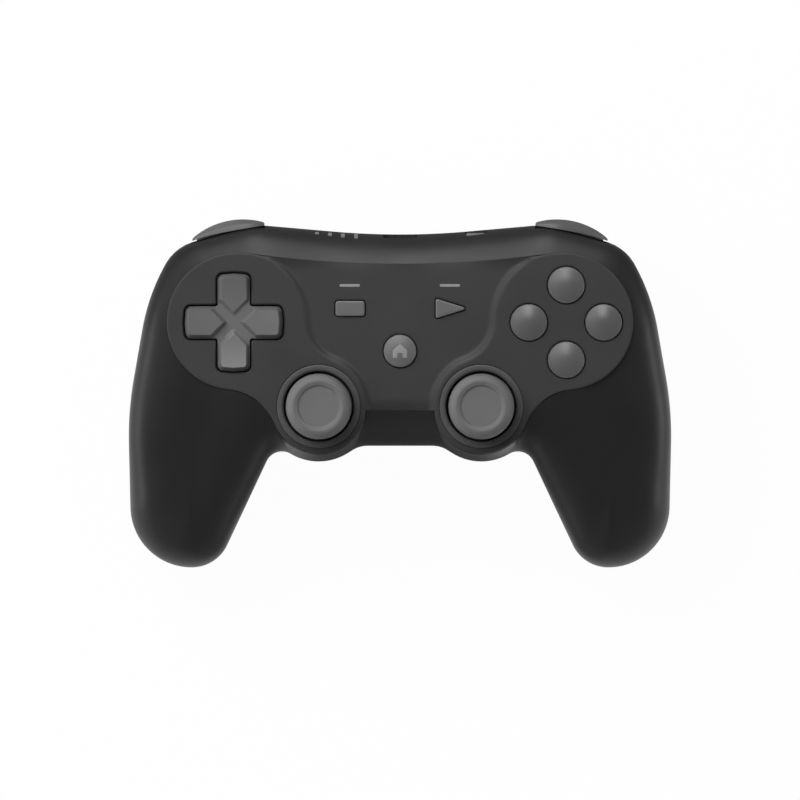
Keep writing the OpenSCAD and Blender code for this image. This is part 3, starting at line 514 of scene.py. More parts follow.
def dress(piece, look, body, nodes=(), crease=32):
    """Smooth shading with creases over an angle, one finish, a body to ride on and the nodes it stands for.
    """
    piece.data.shade_smooth()
    piece.data.set_sharp_from_angle(angle=np.radians(crease))
    piece.data.materials.clear()
    piece.data.materials.append(finish(look))
    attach(piece, body)
    if nodes:
        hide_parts(*nodes)


def put(name, parts, look, body, nodes=(), crease=32):
    """Makes a piece from vertices and faces and dresses it."""
    dress(loose_mesh(name, *parts), look, body, nodes, crease)


# Housing surface

def rail(first, corners):
    """One edge of the housing from its middle to a grip's tip: straight runs with rounded corners.

    Each corner's middle has its station on the spine, and the length along the edge runs evenly between them.
    """
    ends = [first[0]] + [np.array(c[:2]) for c in corners] + [np.array(GRIP_TIP)]
    arcs = [corner_arc(*ends[i:i + 3], c[2], ARC_POINTS) for i, c in enumerate(corners)]
    path = np.concatenate([first] + arcs + [[GRIP_TIP]])
    along = lengths_along(path)
    middles = len(first) + np.arange(len(corners)) * ARC_POINTS + ARC_POINTS // 2
    stations = np.concatenate([[0], [c[3] for c in corners], [1]])
    lengths = np.concatenate([[0], along[middles], along[-1:]])
    at = softened(np.interp(np.linspace(0, 1, SECTIONS + 1), stations, lengths))
    return points_at(at, along, path)


def housing_rails():
    """The outer edge, from the middle of the shoulder's hollow arc, and the inner edge, from the chin."""
    side = np.array(OUTER_CORNERS[0][:2])
    hollow = corner_arc(side * (-1, 1), (0, DIP_CORNER_Y), side, DIP_RADIUS, 2 * ARC_POINTS - 1)
    outer = rail(hollow[ARC_POINTS - 1:], OUTER_CORNERS)
    return outer, rail(np.array([[0.0, CHIN_Y]]), INNER_CORNERS)


def inset(edge, distance, turn):
    """An edge moved inwards along its normals."""
    tangent = np.gradient(edge, axis=0)
    tangent[0], tangent[-1] = (1, 0), (-turn, 0)
    tangent = unit(tangent)
    return edge + distance * turn * np.stack([tangent[:, 1], -tangent[:, 0]], axis=-1)


def seam_height(y):
    """Height of the parting line: level along the shoulder, easing down towards the grip ends."""
    return SEAM_Z - SEAM_DROP * smooth((-5 - y) / 40)


def bow(u, n):
    """Quarter of a superellipse: (1 - (1 - u)^n)^(1/n)."""
    return (1 - (1 - u) ** n) ** (1 / n)


def spine_stations():
    """The spine at each section: its place, its heading, its share of the crown's fall and that share's rate.

    The spine is (x/62)^2.8 + ((y+34)/51)^2.8 = 1. Its stations slow down towards its end, e^3 / (e^2 + c^2)
    with e the part still to go, so that the grip's end has no ridge. The crown's fall is w^1.9, smoothed
    along the spine's length.
    """
    w = np.linspace(0, 1, 2401)
    rise = SPINE_START_Y - SPINE_END[1]
    path = np.stack([
        SPINE_END[0] * np.sin(np.pi / 2 * w) ** SPINE_ROUND,
        SPINE_END[1] + rise * np.clip(np.cos(np.pi / 2 * w), 0, 1) ** SPINE_ROUND], axis=-1)
    length = lengths_along(path)
    even = np.linspace(0, length[-1], 601)
    fall = softened(np.interp(even, length, w ** 1.9), 70)
    rate = np.gradient(fall, even)
    left = np.linspace(1, 0, SECTIONS + 1)
    station = 1 - left ** 3 / (left * left + TIP_EASE ** 2)
    station[0] = 0
    at = np.interp(station, w, length)
    place = points_at(at, length, path)
    course = points_at(at, even, np.gradient(points_at(even, length, path), axis=0))
    return station, place, unit(course), np.interp(at, even, fall), np.interp(at, even, rate)


def skin(upper, depth):
    """One skin of a shell half as a grid.

    Sections fan from the left grip over the middle to the right grip. Each runs from the outer edge up to the
    spine and down to the inner edge, its height a superellipse quarter between the parting line and the crown
    or keel. A cubic, g (1 - u) u^2, gives both sides the spine's own slope where they meet. Depth moves it
    inwards by a wall.
    """
    w, spine, course, fall, rate = spine_stations()
    u = 1 - np.cos(np.linspace(0, np.pi / 2, STEPS + 1))
    if upper:
        top, slope = CROWN_Z - CROWN_DROP * fall - depth, -CROWN_DROP * rate
        fullness = (
            2 + 2 * np.sin(np.pi * w) ** 4,
            1.78 + 0.32 * smooth(w / 0.14) - 0.1 * smooth((w - 0.8) / 0.2))
    else:
        top = BELLY_Z - (BELLY_Z + FOOT_CUT) * smooth((w - 0.25) / 0.6) + depth
        slope = np.gradient(top) / np.maximum(np.linalg.norm(np.gradient(spine, axis=0), axis=1), 0.05)
        fullness = (np.full_like(w, 2.4), np.full_like(w, 2.4))
    halves = []
    for edge, turn, n in zip(housing_rails(), (1, -1), fullness):
        rim = seam_height(edge[:, 1]) + (SEAM_GAP if upper else -SEAM_GAP) / 2
        start = inset(edge, depth, turn) if depth else edge
        plan = start[:, None] + (spine - start)[:, None] * u[None, :, None]
        lean = slope * np.sum(course * (spine - start), axis=1)
        rise = (top - rim)[:, None] * bow(u[None, :], n[:, None])
        z = rim[:, None] + rise - lean[:, None] * (1 - u) * u * u
        if upper and depth:
            z = np.minimum(z, ROOF_Z)
        if not upper and not depth:
            z = FEET + 0.5 * (z + np.sqrt(z * z + 0.02))
        halves.append(np.concatenate([plan, z[..., None]], axis=-1))
    right = np.concatenate([halves[0], halves[1][:, -2::-1]], axis=1)
    return np.concatenate([right[:0:-1] * (-1, 1, 1), right])


def shell_level(x, y):
    """Height of the upper shell's outer skin over points, found by looking straight down on it."""
    points, faces = sheet_of(skin(True, 0))
    tree = BVHTree.FromPolygons(points.tolist(), faces)
    hits = [tree.ray_cast((a, b, 100.0), (0, 0, -1))[0] for a, b in zip(x, y)]
    return np.array([hit.z if hit else SEAM_Z for hit in hits])


def shell_half(upper):
    """Outer skin, inner skin and the two strips of rim between them."""
    outer, inner = skin(upper, 0), skin(upper, WALL)
    strips = [np.stack([outer[:, j], inner[:, j]], axis=1) for j in (0, -1)]
    return joined(*(sheet_of(part) for part in (outer, inner, *strips)))


# Face plate outline

def fillet_centre(a, ra, b, rb, turn):
    """Centre of a circle at given distances from two points, on one side of the line between them."""
    gap = np.linalg.norm(b - a)
    along = (ra * ra - rb * rb + gap * gap) / (2 * gap)
    e = (b - a) / gap
    return a + e * along + turn * np.sqrt(ra * ra - along * along) * np.array([-e[1], e[0]])


def clockwise(centre, radius, start, finish):
    """An arc round a centre, clockwise from the way to one point to the way to another."""
    first = heading(centre, start)
    return swing(centre, radius, first, first - (first - heading(centre, finish)) % 360)


def hollow_arc(centre, radius, start, finish):
    """A fillet's arc, the short way from its side towards one point to its side towards another."""
    first = heading(centre, start)
    return swing(centre, radius, first, first + short_turn(first, heading(centre, finish)))


ISLAND_LOW = fillet_centre(ISLAND, ISLAND_R + LOW_FILLET, STICK, STICK_ISLAND_R + LOW_FILLET, 1)
ISLAND_HIGH = fillet_centre(ISLAND, ISLAND_R + HIGH_FILLET, STICK, STICK_ISLAND_R + HIGH_FILLET, -1)


def island_loop():
    """Right island: control disc, hollow arc, stick disc, and the hollow arc on the panel's side."""
    return np.concatenate([
        clockwise(ISLAND, ISLAND_R, ISLAND_HIGH, ISLAND_LOW),
        hollow_arc(ISLAND_LOW, LOW_FILLET, ISLAND, STICK),
        clockwise(STICK, STICK_ISLAND_R, ISLAND_LOW, ISLAND_HIGH),
        hollow_arc(ISLAND_HIGH, HIGH_FILLET, STICK, ISLAND)])


def panel_top(x):
    """The panel's hollow top edge, an arc that rises from its middle: y = y0 + R - sqrt(R^2 - x^2)."""
    return PANEL_TOP_Y + PANEL_TOP_R - np.sqrt(PANEL_TOP_R ** 2 - x * x)


def plate_loop():
    """The panel's hollow top, each control disc, its hollow arc, the stick disc and the straight chin."""
    x = np.linspace(0, PANEL_HALF, ARC_POINTS)
    top = np.stack([x, panel_top(x)], axis=-1)
    top = top[np.linalg.norm(top - ISLAND, axis=1) > ISLAND_R]
    chin_x = STICK[0] - np.sqrt(STICK_ISLAND_R ** 2 - (PANEL_LOW_Y - STICK[1]) ** 2)
    right = np.concatenate([
        top, clockwise(ISLAND, ISLAND_R, top[-1], ISLAND_LOW),
        hollow_arc(ISLAND_LOW, LOW_FILLET, ISLAND, STICK),
        clockwise(STICK, STICK_ISLAND_R, ISLAND_LOW, (chin_x, PANEL_LOW_Y))])
    return np.concatenate([right, right[:0:-1] * (-1, 1)])


# Control outlines

def circle_loop(centre, radius, count=96):
    """A closed circle."""
    return swing(centre, radius, 0, 360 * (1 - 1 / count), count)


def cross_loop(span, arm, outer_r, inner_r):
    """A cross about the D-pad's middle, with rounded ends and rounded inner corners."""
    s, a = span / 2, arm / 2
    quarter = [(a, a), (a, s - ARM_BULGE), (0, s), (-a, s - ARM_BULGE)]
    corners = np.concatenate([quarter_turned(quarter, k) for k in range(4)])
    return rounded_loop(corners, [inner_r, outer_r, ARM_BULGE_R, outer_r] * 4) + DPAD


def dpad_hole():
    """The cross-shaped hole that the D-pad stands in."""
    return cross_loop(DPAD_SPAN + 2 * DPAD_GAP, DPAD_ARM + 2 * DPAD_GAP, 2.0, 0.6)


def select_loop(grow):
    """The select button's rounded rectangle, grown on all sides."""
    return box_loop(SELECT_W + 2 * grow, SELECT_H + 2 * grow, 0.8 + grow) + SELECT[:2]


def start_loop(grow):
    """The start button's rounded triangle, grown on all sides: corners pushed out along both normals."""
    core, r = np.array(START_CORE), START_ROUND + grow
    u, v = unit(np.roll(core, 1, axis=0) - core), unit(np.roll(core, -1, axis=0) - core)
    half = np.arccos(np.sum(u * v, axis=1)) / 2
    corners = core - unit(u + v) * (r / np.sin(half))[:, None]
    return rounded_loop(corners, [r] * 3) + START_PLACE


def control_loops(grow):
    """Outlines of the holes that the controls stand in."""
    loops = [circle_loop(middle_mm(f"button_{spot}")[:2], BUTTON_R + grow) for spot in BUTTONS]
    loops.append(circle_loop(HOME[:2], HOME_R + grow))
    return loops + [dpad_hole(), select_loop(grow), start_loop(grow)]


# Openings in the shoulder

def bumper_slot(sign, gap, low, high):
    """Room for a bumper between two heights: everything in front of a gap behind its inner line."""
    x = np.linspace(BUMPER_INNER[0][0] - BUMPER_END, BUMPER_INNER[2][0] + BUMPER_END, 40)
    centre, radius = circle_through(*BUMPER_INNER)
    inner = np.stack([x, on_circle(x, centre, radius - gap)], axis=-1)
    loop = np.concatenate([inner, [(x[-1], 60), (x[0], 60)]]) * (sign, 1)
    return prism(loop, low, high)


def edge_slots():
    """Openings through the shoulder wall: indicator windows, sync button and charge port."""
    through = [(38, 0), (60, 0)]
    window = box_loop(LENS_W + 0.1, LENS_H + 0.1, LENS_ROUND)
    tools = [along_y(window, through, (x, 0, LENS_Z)) for x in LENS_X]
    tools.append(along_y(box_loop(SYNC_W + 0.5, SYNC_H + 0.5, 1.2), through, middle_mm("sync_button")))
    tools.append(along_y(box_loop(PORT_W + 2, PORT_H + 1, 1.4), through, middle_mm("charge_port")))
    return tools


# Shader maths

class Flow:
    """A node socket that takes part in Python expressions: each operator adds one Math node."""

    def __init__(self, surface, socket):
        self.surface, self.socket = surface, socket

    def math(self, operation, a, b):
        return self.surface.add("ShaderNodeMath", {"operation": operation}, {0: a, 1: b})

    def __add__(self, other):
        return self.math("ADD", self, other)

    def __sub__(self, other):
        return self.math("SUBTRACT", self, other)

    def __rsub__(self, other):
        return self.math("SUBTRACT", other, self)

    def __mul__(self, other):
        return self.math("MULTIPLY", self, other)

    def beside(self, name):
        """Another output of the same node."""
        return Flow(self.surface, self.socket.node.outputs[name])

    def eased(self, start, finish, first=0.0, last=1.0):
        """A smooth step from the first value to the last as this socket goes from start to finish."""
        return self.surface.add("ShaderNodeMapRange", {"interpolation_type": "SMOOTHSTEP"}, {
            0: self, 1: start, 2: finish, 3: first, 4: last})

    __radd__ = __add__
    __rmul__ = __mul__


class Surface:
    """A material, or the world, with its node tree emptied and one method that adds any node."""

    def __init__(self, owner):
        owner.use_nodes = True
        self.owner, self.tree = owner, owner.node_tree
        self.tree.nodes.clear()

    def add(self, kind, settings=None, inputs=None, out=0):
        """Adds a node, sets its options first, then the values or links of its sockets."""
        node = self.tree.nodes.new(kind)
        for key, value in (settings or {}).items():
            setattr(node, key, value)
        for key, value in (inputs or {}).items():
            if isinstance(value, Flow):
                self.tree.links.new(value.socket, node.inputs[key])
            else:
                node.inputs[key].default_value = value
        return Flow(self, node.outputs[out]) if node.outputs else node


def moulded(name, colour, roughness, grain, depth, specular, cloud):
    """Moulded plastic: fine grain as bump, with slow clouds in its colour and gloss."""
    surface = Surface(bpy.data.materials.new(name))
    here = surface.add("ShaderNodeTexCoord", out="Object")
    fine = surface.add("ShaderNodeTexNoise", {}, {"Vector": here, "Scale": 1 / (grain * MM), "Detail": 2.0})
    slow = surface.add("ShaderNodeTexNoise", {}, {"Vector": here, "Scale": 70.0, "Detail": 3.0})
    tint = surface.add("ShaderNodeMix", {"data_type": "RGBA"}, {
        0: slow, 6: [c * (1 - cloud) for c in colour] + [1], 7: [c * (1 + cloud) for c in colour] + [1]}, 2)
    bump = surface.add("ShaderNodeBump", {}, {"Strength": 0.6, "Distance": depth * MM, "Height": fine})
    shader = surface.add("ShaderNodeBsdfPrincipled", {}, {
        "Base Color": tint, "Roughness": roughness + 0.16 * (slow - 0.5) + 0.08 * (fine - 0.5),
        "Specular IOR Level": specular, "Normal": bump})
    surface.add("ShaderNodeOutputMaterial", {}, {"Surface": shader})
    return surface.owner


def metal(name, colour, roughness):
    """Plated steel: streaks in gloss along one way."""
    surface = Surface(bpy.data.materials.new(name))
    here = surface.add("ShaderNodeTexCoord", out="Object")
    drawn = surface.add("ShaderNodeMapping", {}, {"Vector": here, "Scale": (200.0, 4000.0, 200.0)})
    streak = surface.add("ShaderNodeTexNoise", {}, {"Vector": drawn, "Scale": 1.0, "Detail": 2.0})
    shader = surface.add("ShaderNodeBsdfPrincipled", {}, {
        "Base Color": (*colour, 1), "Metallic": 1.0, "Roughness": roughness + 0.2 * (streak - 0.5)})
    surface.add("ShaderNodeOutputMaterial", {}, {"Surface": shader})
    return surface.owner


# Plastics: colour or its setting's name, roughness, grain size and depth in mm, specular level, clouds
PLASTICS = {
    "shell_black": ("shell_colour", 0.42, 0.12, 0.012, 0.34, 0.08),
    "plate_grey": ("plate_colour", 0.5, 0.12, 0.010, 0.35, 0.08),
    "ring_grey": ("ring_colour", 0.45, 0.2, 0.004, 0.4, 0.08),
    "control_grey": ("control_colour", 0.4, 0.2, 0.004, 0.4, 0.08),
    "bumper_grey": ("bumper_colour", 0.4, 0.2, 0.004, 0.4, 0.08),
    "button_grey": ("button_colour", 0.34, 0.3, 0.003, 0.5, 0.08),
    "stick_rubber": ("stick_colour", 0.6, 0.09, 0.02, 0.3, 0.08),
    "print_grey": ("print_colour", 0.5, 0.3, 0.002, 0.3, 0.08),
    "membrane_rubber": ((0.3, 0.31, 0.32), 0.7, 0.15, 0.02, 0.3, 0.08),
    "inner_plastic": ((0.3, 0.31, 0.32), 0.55, 0.2, 0.01, 0.4, 0.08),
    "switch_plastic": ((0.06, 0.06, 0.06), 0.5, 0.2, 0.01, 0.4, 0.08),
    "board_green": ((0.012, 0.1, 0.035), 0.35, 1.2, 0.02, 0.5, 0.3),
    "battery_wrap": ((0.15, 0.2, 0.26), 0.3, 2.5, 0.03, 0.5, 0.1),
    "lens_smoke": ((0.1, 0.1, 0.102), 0.3, 0.4, 0.002, 0.4, 0.08),
}
STEEL = ((0.5, 0.5, 0.52), 0.32)
FINISHES = {}


def finish(name):
    """One of the part's finishes, made when it is first asked for."""
    if name not in FINISHES:
        if name == "steel":
            FINISHES[name] = metal(name, *STEEL)
        else:
            colour, *surface = PLASTICS[name]
            if isinstance(colour, str):
                colour = getattr(bpy.context.scene.gamepad_finishes, colour)
            FINISHES[name] = moulded(name, colour, *surface)
    return FINISHES[name]


# Properties

def colour_property(name, description, default):
    """A colour that the user may change."""
    return bpy.props.FloatVectorProperty(
        name=name, description=description, default=default, subtype="COLOR", min=0.0, max=1.0)


class GamepadFinishes(bpy.types.PropertyGroup):
    """Colours of the visible plastics, in linear light."""

    shell_colour: colour_property("Shell", "Black moulded housing", (0.0135, 0.0135, 0.0138))
    plate_colour: colour_property("Face plate", "Dark grey plate on the face", (0.0335, 0.0335, 0.034))
    ring_colour: colour_property("Stick rings", "Bezels round the stick wells", (0.070, 0.070, 0.071))
    control_colour: colour_property("Controls", "D-pad and small buttons", (0.13, 0.13, 0.132))
    bumper_colour: colour_property("Bumpers", "Shoulder bumpers", (0.1, 0.1, 0.1015))
    button_colour: colour_property("Face buttons", "Round action buttons", (0.098, 0.098, 0.1))
    stick_colour: colour_property("Thumbsticks", "Rubber of the thumb caps", (0.14, 0.14, 0.142))
    print_colour: colour_property("Marks", "Light printed marks", (0.27, 0.27, 0.27))


class GamepadStudio(bpy.types.PropertyGroup):
    """Camera and light levels."""

    view_width: bpy.props.FloatProperty(
        name="View width", description="Width that the picture takes in at the face", default=0.2353,
        min=0.1, unit="LENGTH")
    distance: bpy.props.FloatProperty(
        name="Camera height", description="Camera height above the face", default=8.0, min=0.5,
        unit="LENGTH")
    key_power: bpy.props.FloatProperty(
        name="Key light", description="Power of the soft light from the upper left", default=15.5,
        min=0.0, unit="POWER")
    sheen_power: bpy.props.FloatProperty(
        name="Sheen", description="Power of the wide light that shows only in gloss", default=11.0,
        min=0.0, unit="POWER")
    fill_level: bpy.props.FloatProperty(
        name="Fill", description="Level of the light from all round", default=0.36, min=0.0, max=2.0)


class GamepadDetails(bpy.types.PropertyGroup):
    """Sizes of the fine details."""

    edge_round: bpy.props.FloatProperty(
        name="Edge rounding", description="Rounding of the plate's edges", default=0.00035, min=0.0001,
        unit="LENGTH")
    button_dome: bpy.props.FloatProperty(
        name="Button dome", description="Radius of the face buttons' domes", default=0.011, min=0.008,
        unit="LENGTH")
    pad_bevel: bpy.props.FloatProperty(
        name="Pad bevel", description="Width of the slope round each D-pad pad", default=0.00095,
        min=0.0003, unit="LENGTH")


# Operators

class GAMEPAD_OT_shells(bpy.types.Operator):
    """Upper and lower shell: lofted skins with the pocket, wells and openings cut out"""

    bl_idname = "gamepad.shells"
    bl_label = "Shells"

    def execute(self, context):
        self.upper()
        self.lower()
        return {"FINISHED"}

    def upper(self):
        """The upper skin with both stick barrels added, then the pocket and every opening taken away."""
        shell = loose_mesh("upper_shell_skin", *shell_half(True))
        barrel = path_profile([
            (0, SEAM_Z, 0), (BARREL_LOW_R, SEAM_Z, 0), (BARREL_TOP_R + 0.25, PANEL_Z - 0.6, 0.5),
            (BARREL_TOP_R - 0.3, PANEL_Z + 0.4, 0), (0, PANEL_Z + 0.4, 0)])
        for _, sign in SIDES:
            combined(shell, loose_mesh("barrel", *lathe(barrel, STICK * (sign, 1))), "UNION")
        plate = moved(respaced(plate_loop(), 0.4), PLATE_GAP)
        combined(shell, loose_mesh("pocket", *prism(plate, PLATE_SEAT, PLATE_SEAT + 20)), "DIFFERENCE")

        above = PLATE_SEAT + 6
        well = [
            (0, 20), (BARREL_LOW_R - 1.9, 20), (BARREL_TOP_R - 1.5, ROOF_Z), (DOME_HOLE_R, ROOF_Z),
            (DOME_HOLE_R, above), (0, above)]
        holes = [prism(loop, ROOF_Z - 5, above) for loop in control_loops(BUTTON_GAP)]
        for _, sign in SIDES:
            holes.append(lathe(well, STICK * (sign, 1)))
            holes.append(bumper_slot(sign, BUMPER_GAP, BUMPER_AXIS - 1.3, BUMPER_TOP + 6))
        holes += edge_slots()
        combined(shell, loose_mesh("holes", *joined(*holes)), "DIFFERENCE")
        swings = [
            bumper_slot(sign, BUMPER_SWING, BUMPER_LOW - BUMPER_ROOM, BUMPER_AXIS - 1.2)
            for _, sign in SIDES]
        combined(shell, loose_mesh("swings", *joined(*swings)), "DIFFERENCE")
        dress(shell, "shell_black", "housing", ["upper_shell"])

    def lower(self):
        """The lower skin with room cut for the trigger housings and the screw heads."""
        shell = loose_mesh("lower_shell_skin", *shell_half(False))
        tools = []
        for side, _ in SIDES:
            low, high = box_mm(f"trigger_housing_{side}")
            loop = np.array([(low[0], low[1]), (high[0], low[1]), (high[0], 70), (low[0], 70)])
            tools.append(prism(moved(loop, 0.2), -5, 60))
        tools += [prism(circle_loop((x, y), SCREW_HEAD_R), -5, seat) for x, y, seat in SCREWS]
        combined(shell, loose_mesh("pods", *joined(*tools)), "DIFFERENCE")
        dress(shell, "shell_black", "housing", ["lower_shell"])


class GAMEPAD_OT_edge_fittings(bpy.types.Operator):
    """Indicator windows, sync button with a rounded face, and the charge port with its tongue set back"""

    bl_idname = "gamepad.edge_fittings"
    bl_label = "Shoulder fittings"

    def execute(self, context):
        windows = []
        for x in LENS_X:
            front = DIP_Y + x * x / (2 * LENS_LINE_R)
            run = [(front - 4.4, 0), (front - 0.4, 0), (front - 0.2, 0.1)]
            windows.append(along_y(box_loop(LENS_W, LENS_H, LENS_ROUND), run, (x, 0, LENS_Z)))
        put("indicator_windows", joined(*windows), "lens_smoke", "housing", ["indicator_lenses"])

        (_, back, _), (_, front, _) = box_mm("sync_button")
        place = middle_mm("sync_button")
        face = [(front - 3.6, 0), (front - 0.5, 0), (front - 0.2, 0.08), (front - 0.06, 0.25), (front, 0.5)]
        stem = along_y(circle_loop((0, 0), 1.3, 24), [(back, 0), (front - 3.4, 0)], place)
        key = along_y(box_loop(SYNC_W, SYNC_H, 1.0), face, place)
        put("sync_button_key", joined(stem, key), "control_grey", "sync_button", ["sync_button"])

        (_, back, _), (_, front, _) = box_mm("charge_port")
        place, mouth = middle_mm("charge_port"), front - 1.2
        sleeve = [
            (back, 0), (mouth - 0.1, 0), (mouth, 0.1), (mouth, 0.3), (mouth - 0.1, 0.4), (back + 1, 0.4)]
        tongue = [(back + 0.8, 0), (mouth - 1.8, 0), (mouth - 1.5, 0.15)]
        port = joined(
            along_y(box_loop(PORT_W, PORT_H, 1.0), sleeve, place),
            along_y(box_loop(5, 0.9, 0.2), tongue, place))
        put("charge_port_sleeve", port, "steel", "housing", ["charge_port"])
        return {"FINISHED"}


class GAMEPAD_OT_plate(bpy.types.Operator):
    """Face plate: flat islands that ease down to the middle panel, with rounded edges and holes"""

    bl_idname = "gamepad.plate"
    bl_label = "Face plate"

    def execute(self, context):
        edge = context.scene.gamepad_details.edge_round / MM
        wells = [circle_loop(STICK * (sign, 1), RING_R + WELL_GAP) for _, sign in SIDES]
        loops = [plate_loop()] + control_loops(BUTTON_GAP) + wells
        islands = [respaced(island_loop() * (sign, 1), 0.6) for _, sign in SIDES]
        outline, pad_hole = respaced(loops[0], 0.6), respaced(dpad_hole(), 0.4)
        across = np.linspace(-PANEL_HALF, PANEL_HALF, 181)
        top_edge = panel_top(across)
        top_level = shell_level(across, top_edge + RUN_ON_LIP)
        roll = PANEL_Z - shell_level(across, np.full_like(across, PANEL_LOW_Y - RUN_ON_LIP))

        def over_panel(x):
            """One over the panel, easing to none where the control discs begin."""
            return smooth((RUN_ON_X - np.abs(x)) / RUN_ON_FADE)

        def height(x, y):
            """Panel level, plus the islands' step eased over a band round them, run on into the shell."""
            points = np.stack([x, y], axis=-1)
            out = -np.max([depth_inside(points, loop) for loop in islands], axis=0)
            centre = STEP_OUT + STEP_OUT_MORE * smooth((y - 2) / 12)
            level = PANEL_Z + (ISLAND_TOP - PANEL_Z) * smooth(0.5 + (centre - out) / STEP_BAND)
            near_top = np.clip(1 - (np.interp(x, across, top_edge) - y) / RUN_ON, 0, 1) ** 2
            near_chin = np.clip((PANEL_LOW_Y + RUN_ON - y) / RUN_ON, 0, 1) ** 2 * smooth((out + 0.2) / 2.0)
            run_on = (np.interp(x, across, top_level) - level) * near_top * over_panel(x)
            slant = np.clip(PAD_CHAMFER + depth_inside(points, pad_hole), 0, PAD_CHAMFER)
            return level + run_on - np.interp(x, across, roll) * near_chin - slant

        def share(x, y):
            """All of the rounding on the islands' edge, less at holes, none at the panel's top and chin."""
            inner = 0.6 * smooth(depth_inside(np.stack([x, y], axis=-1), outline) - 0.5)
            run_on = over_panel(x) * smooth((y - 36) / 1.5) + smooth((10.5 - np.abs(x)) / 1.5) * (y < -3)
            return (1 - np.minimum(run_on, 1)) * (1 - inner)

        shape = relief(loops, height, PLATE_SEAT, edge, 0.6, [moved(pad_hole, PAD_CHAMFER)], share)
        put("face_plate_skin", shape, "plate_grey", "housing", ["face_plate"])
        return {"FINISHED"}


class GAMEPAD_OT_dpad(bpy.types.Operator):
    """D-pad: a cross with four raised pads that point to its middle"""

    bl_idname = "gamepad.dpad"
    bl_label = "D-pad"

    def execute(self, context):
        bevel = context.scene.gamepad_details.pad_bevel / MM
        half, end = DPAD_ARM / 2 - PAD_MARGIN, DPAD_SPAN / 2 - PAD_MARGIN
        top, base = ISLAND_TOP + PAD_RISE, ISLAND_TOP - PAD_GROOVE
        corners = [
            (PAD_TIP, 0), (PAD_TIP + half, -half), (end - ARM_BULGE, -half), (end, 0),
            (end - ARM_BULGE, half), (PAD_TIP + half, half)]
        pads, lines = [], []
        for k in range(4):
            loop = rounded_loop(quarter_turned(corners, k), [0.6, 1.0, 1.65, ARM_BULGE_R, 1.65, 1.0]) + DPAD
            pads.append(respaced(loop, 0.3))
            lines += [moved(pads[-1], -bevel * part) for part in (0.0, 0.33, 0.66, 1.0)]

        def height(x, y):
            """A low cross; each pad rises over its bevel to a dish, top - d (1 - (r / end)^2)."""
            inside = np.max([depth_inside(np.stack([x, y], axis=-1), pad) for pad in pads], axis=0)
            across, along = np.abs(x - DPAD[0]), np.abs(y - DPAD[1])
            dish = np.where(along > across, *PAD_DISH)
            along = np.maximum(along, across) / end
            return base + (top - dish * (1 - along ** 2) - base) * smooth(inside / bevel)

        outline = cross_loop(DPAD_SPAN, DPAD_ARM, 1.7, 0.7)
        shape = relief([outline], height, top - 8, 0.2, 0.55, lines)
        put("dpad_cross", shape, "control_grey", "dpad", ["dpad"])
        return {"FINISHED"}


class GAMEPAD_OT_buttons(bpy.types.Operator):
    """Four domed action buttons"""

    bl_idname = "gamepad.buttons"
    bl_label = "Action buttons"

    def execute(self, context):
        dome = context.scene.gamepad_details.button_dome / MM
        for spot in BUTTONS:
            node = f"button_{spot}"
            low, high = box_mm(node)
            profile = domed(BUTTON_R, high[2], dome, low[2] + BUTTON_ROOM, 0.45)
            put(f"{node}_cap", lathe(profile, middle_mm(node)), "button_grey", node, [node])
        return {"FINISHED"}


class GAMEPAD_OT_small_buttons(bpy.types.Operator):
    """Home, select and start buttons, with a plain house mark on the first"""

    bl_idname = "gamepad.small_buttons"
    bl_label = "Small buttons"

    def execute(self, context):
        low, high = box_mm("home_button")
        top = high[2]
        cap = lathe(domed(HOME_R, top, HOME_DOME, low[2], 0.4), HOME)
        put("home_button_cap", cap, "control_grey", "home_button", ["home_button"])

        def over_home(x, y):
            """The home button's dome with the mark's own thickness."""
            d = np.hypot(x - HOME[0], y - HOME[1])
            return top - HOME_DOME + np.sqrt(HOME_DOME ** 2 - d * d) + 0.06

        house = np.array(HOUSE[::-1])
        mark = rounded_loop(house[:, :2], house[:, 2], 5) + HOME[:2]
        shape = relief([mark], over_home, top - 1.2, 0.05, 0.35)
        put("home_mark", shape, "print_grey", "home_button")

        for node, loop in (("select_button", select_loop(0)), ("start_button", start_loop(0))):
            low, high = box_mm(node)
            shape = relief([loop], flat_at(high[2]), low[2], 0.4, 0.6)
            put(f"{node}_cap", shape, "control_grey", node, [node])
        for name, x in MARK_X.items():
            bar = box_loop(MARK_W, MARK_H, 0.39) + (x, MARK_Y)
            shape = relief([bar], flat_at(PANEL_Z + 0.03), PANEL_Z - 0.3, 0.02, 0.4)
            put(name, shape, "print_grey", "housing")
        return {"FINISHED"}


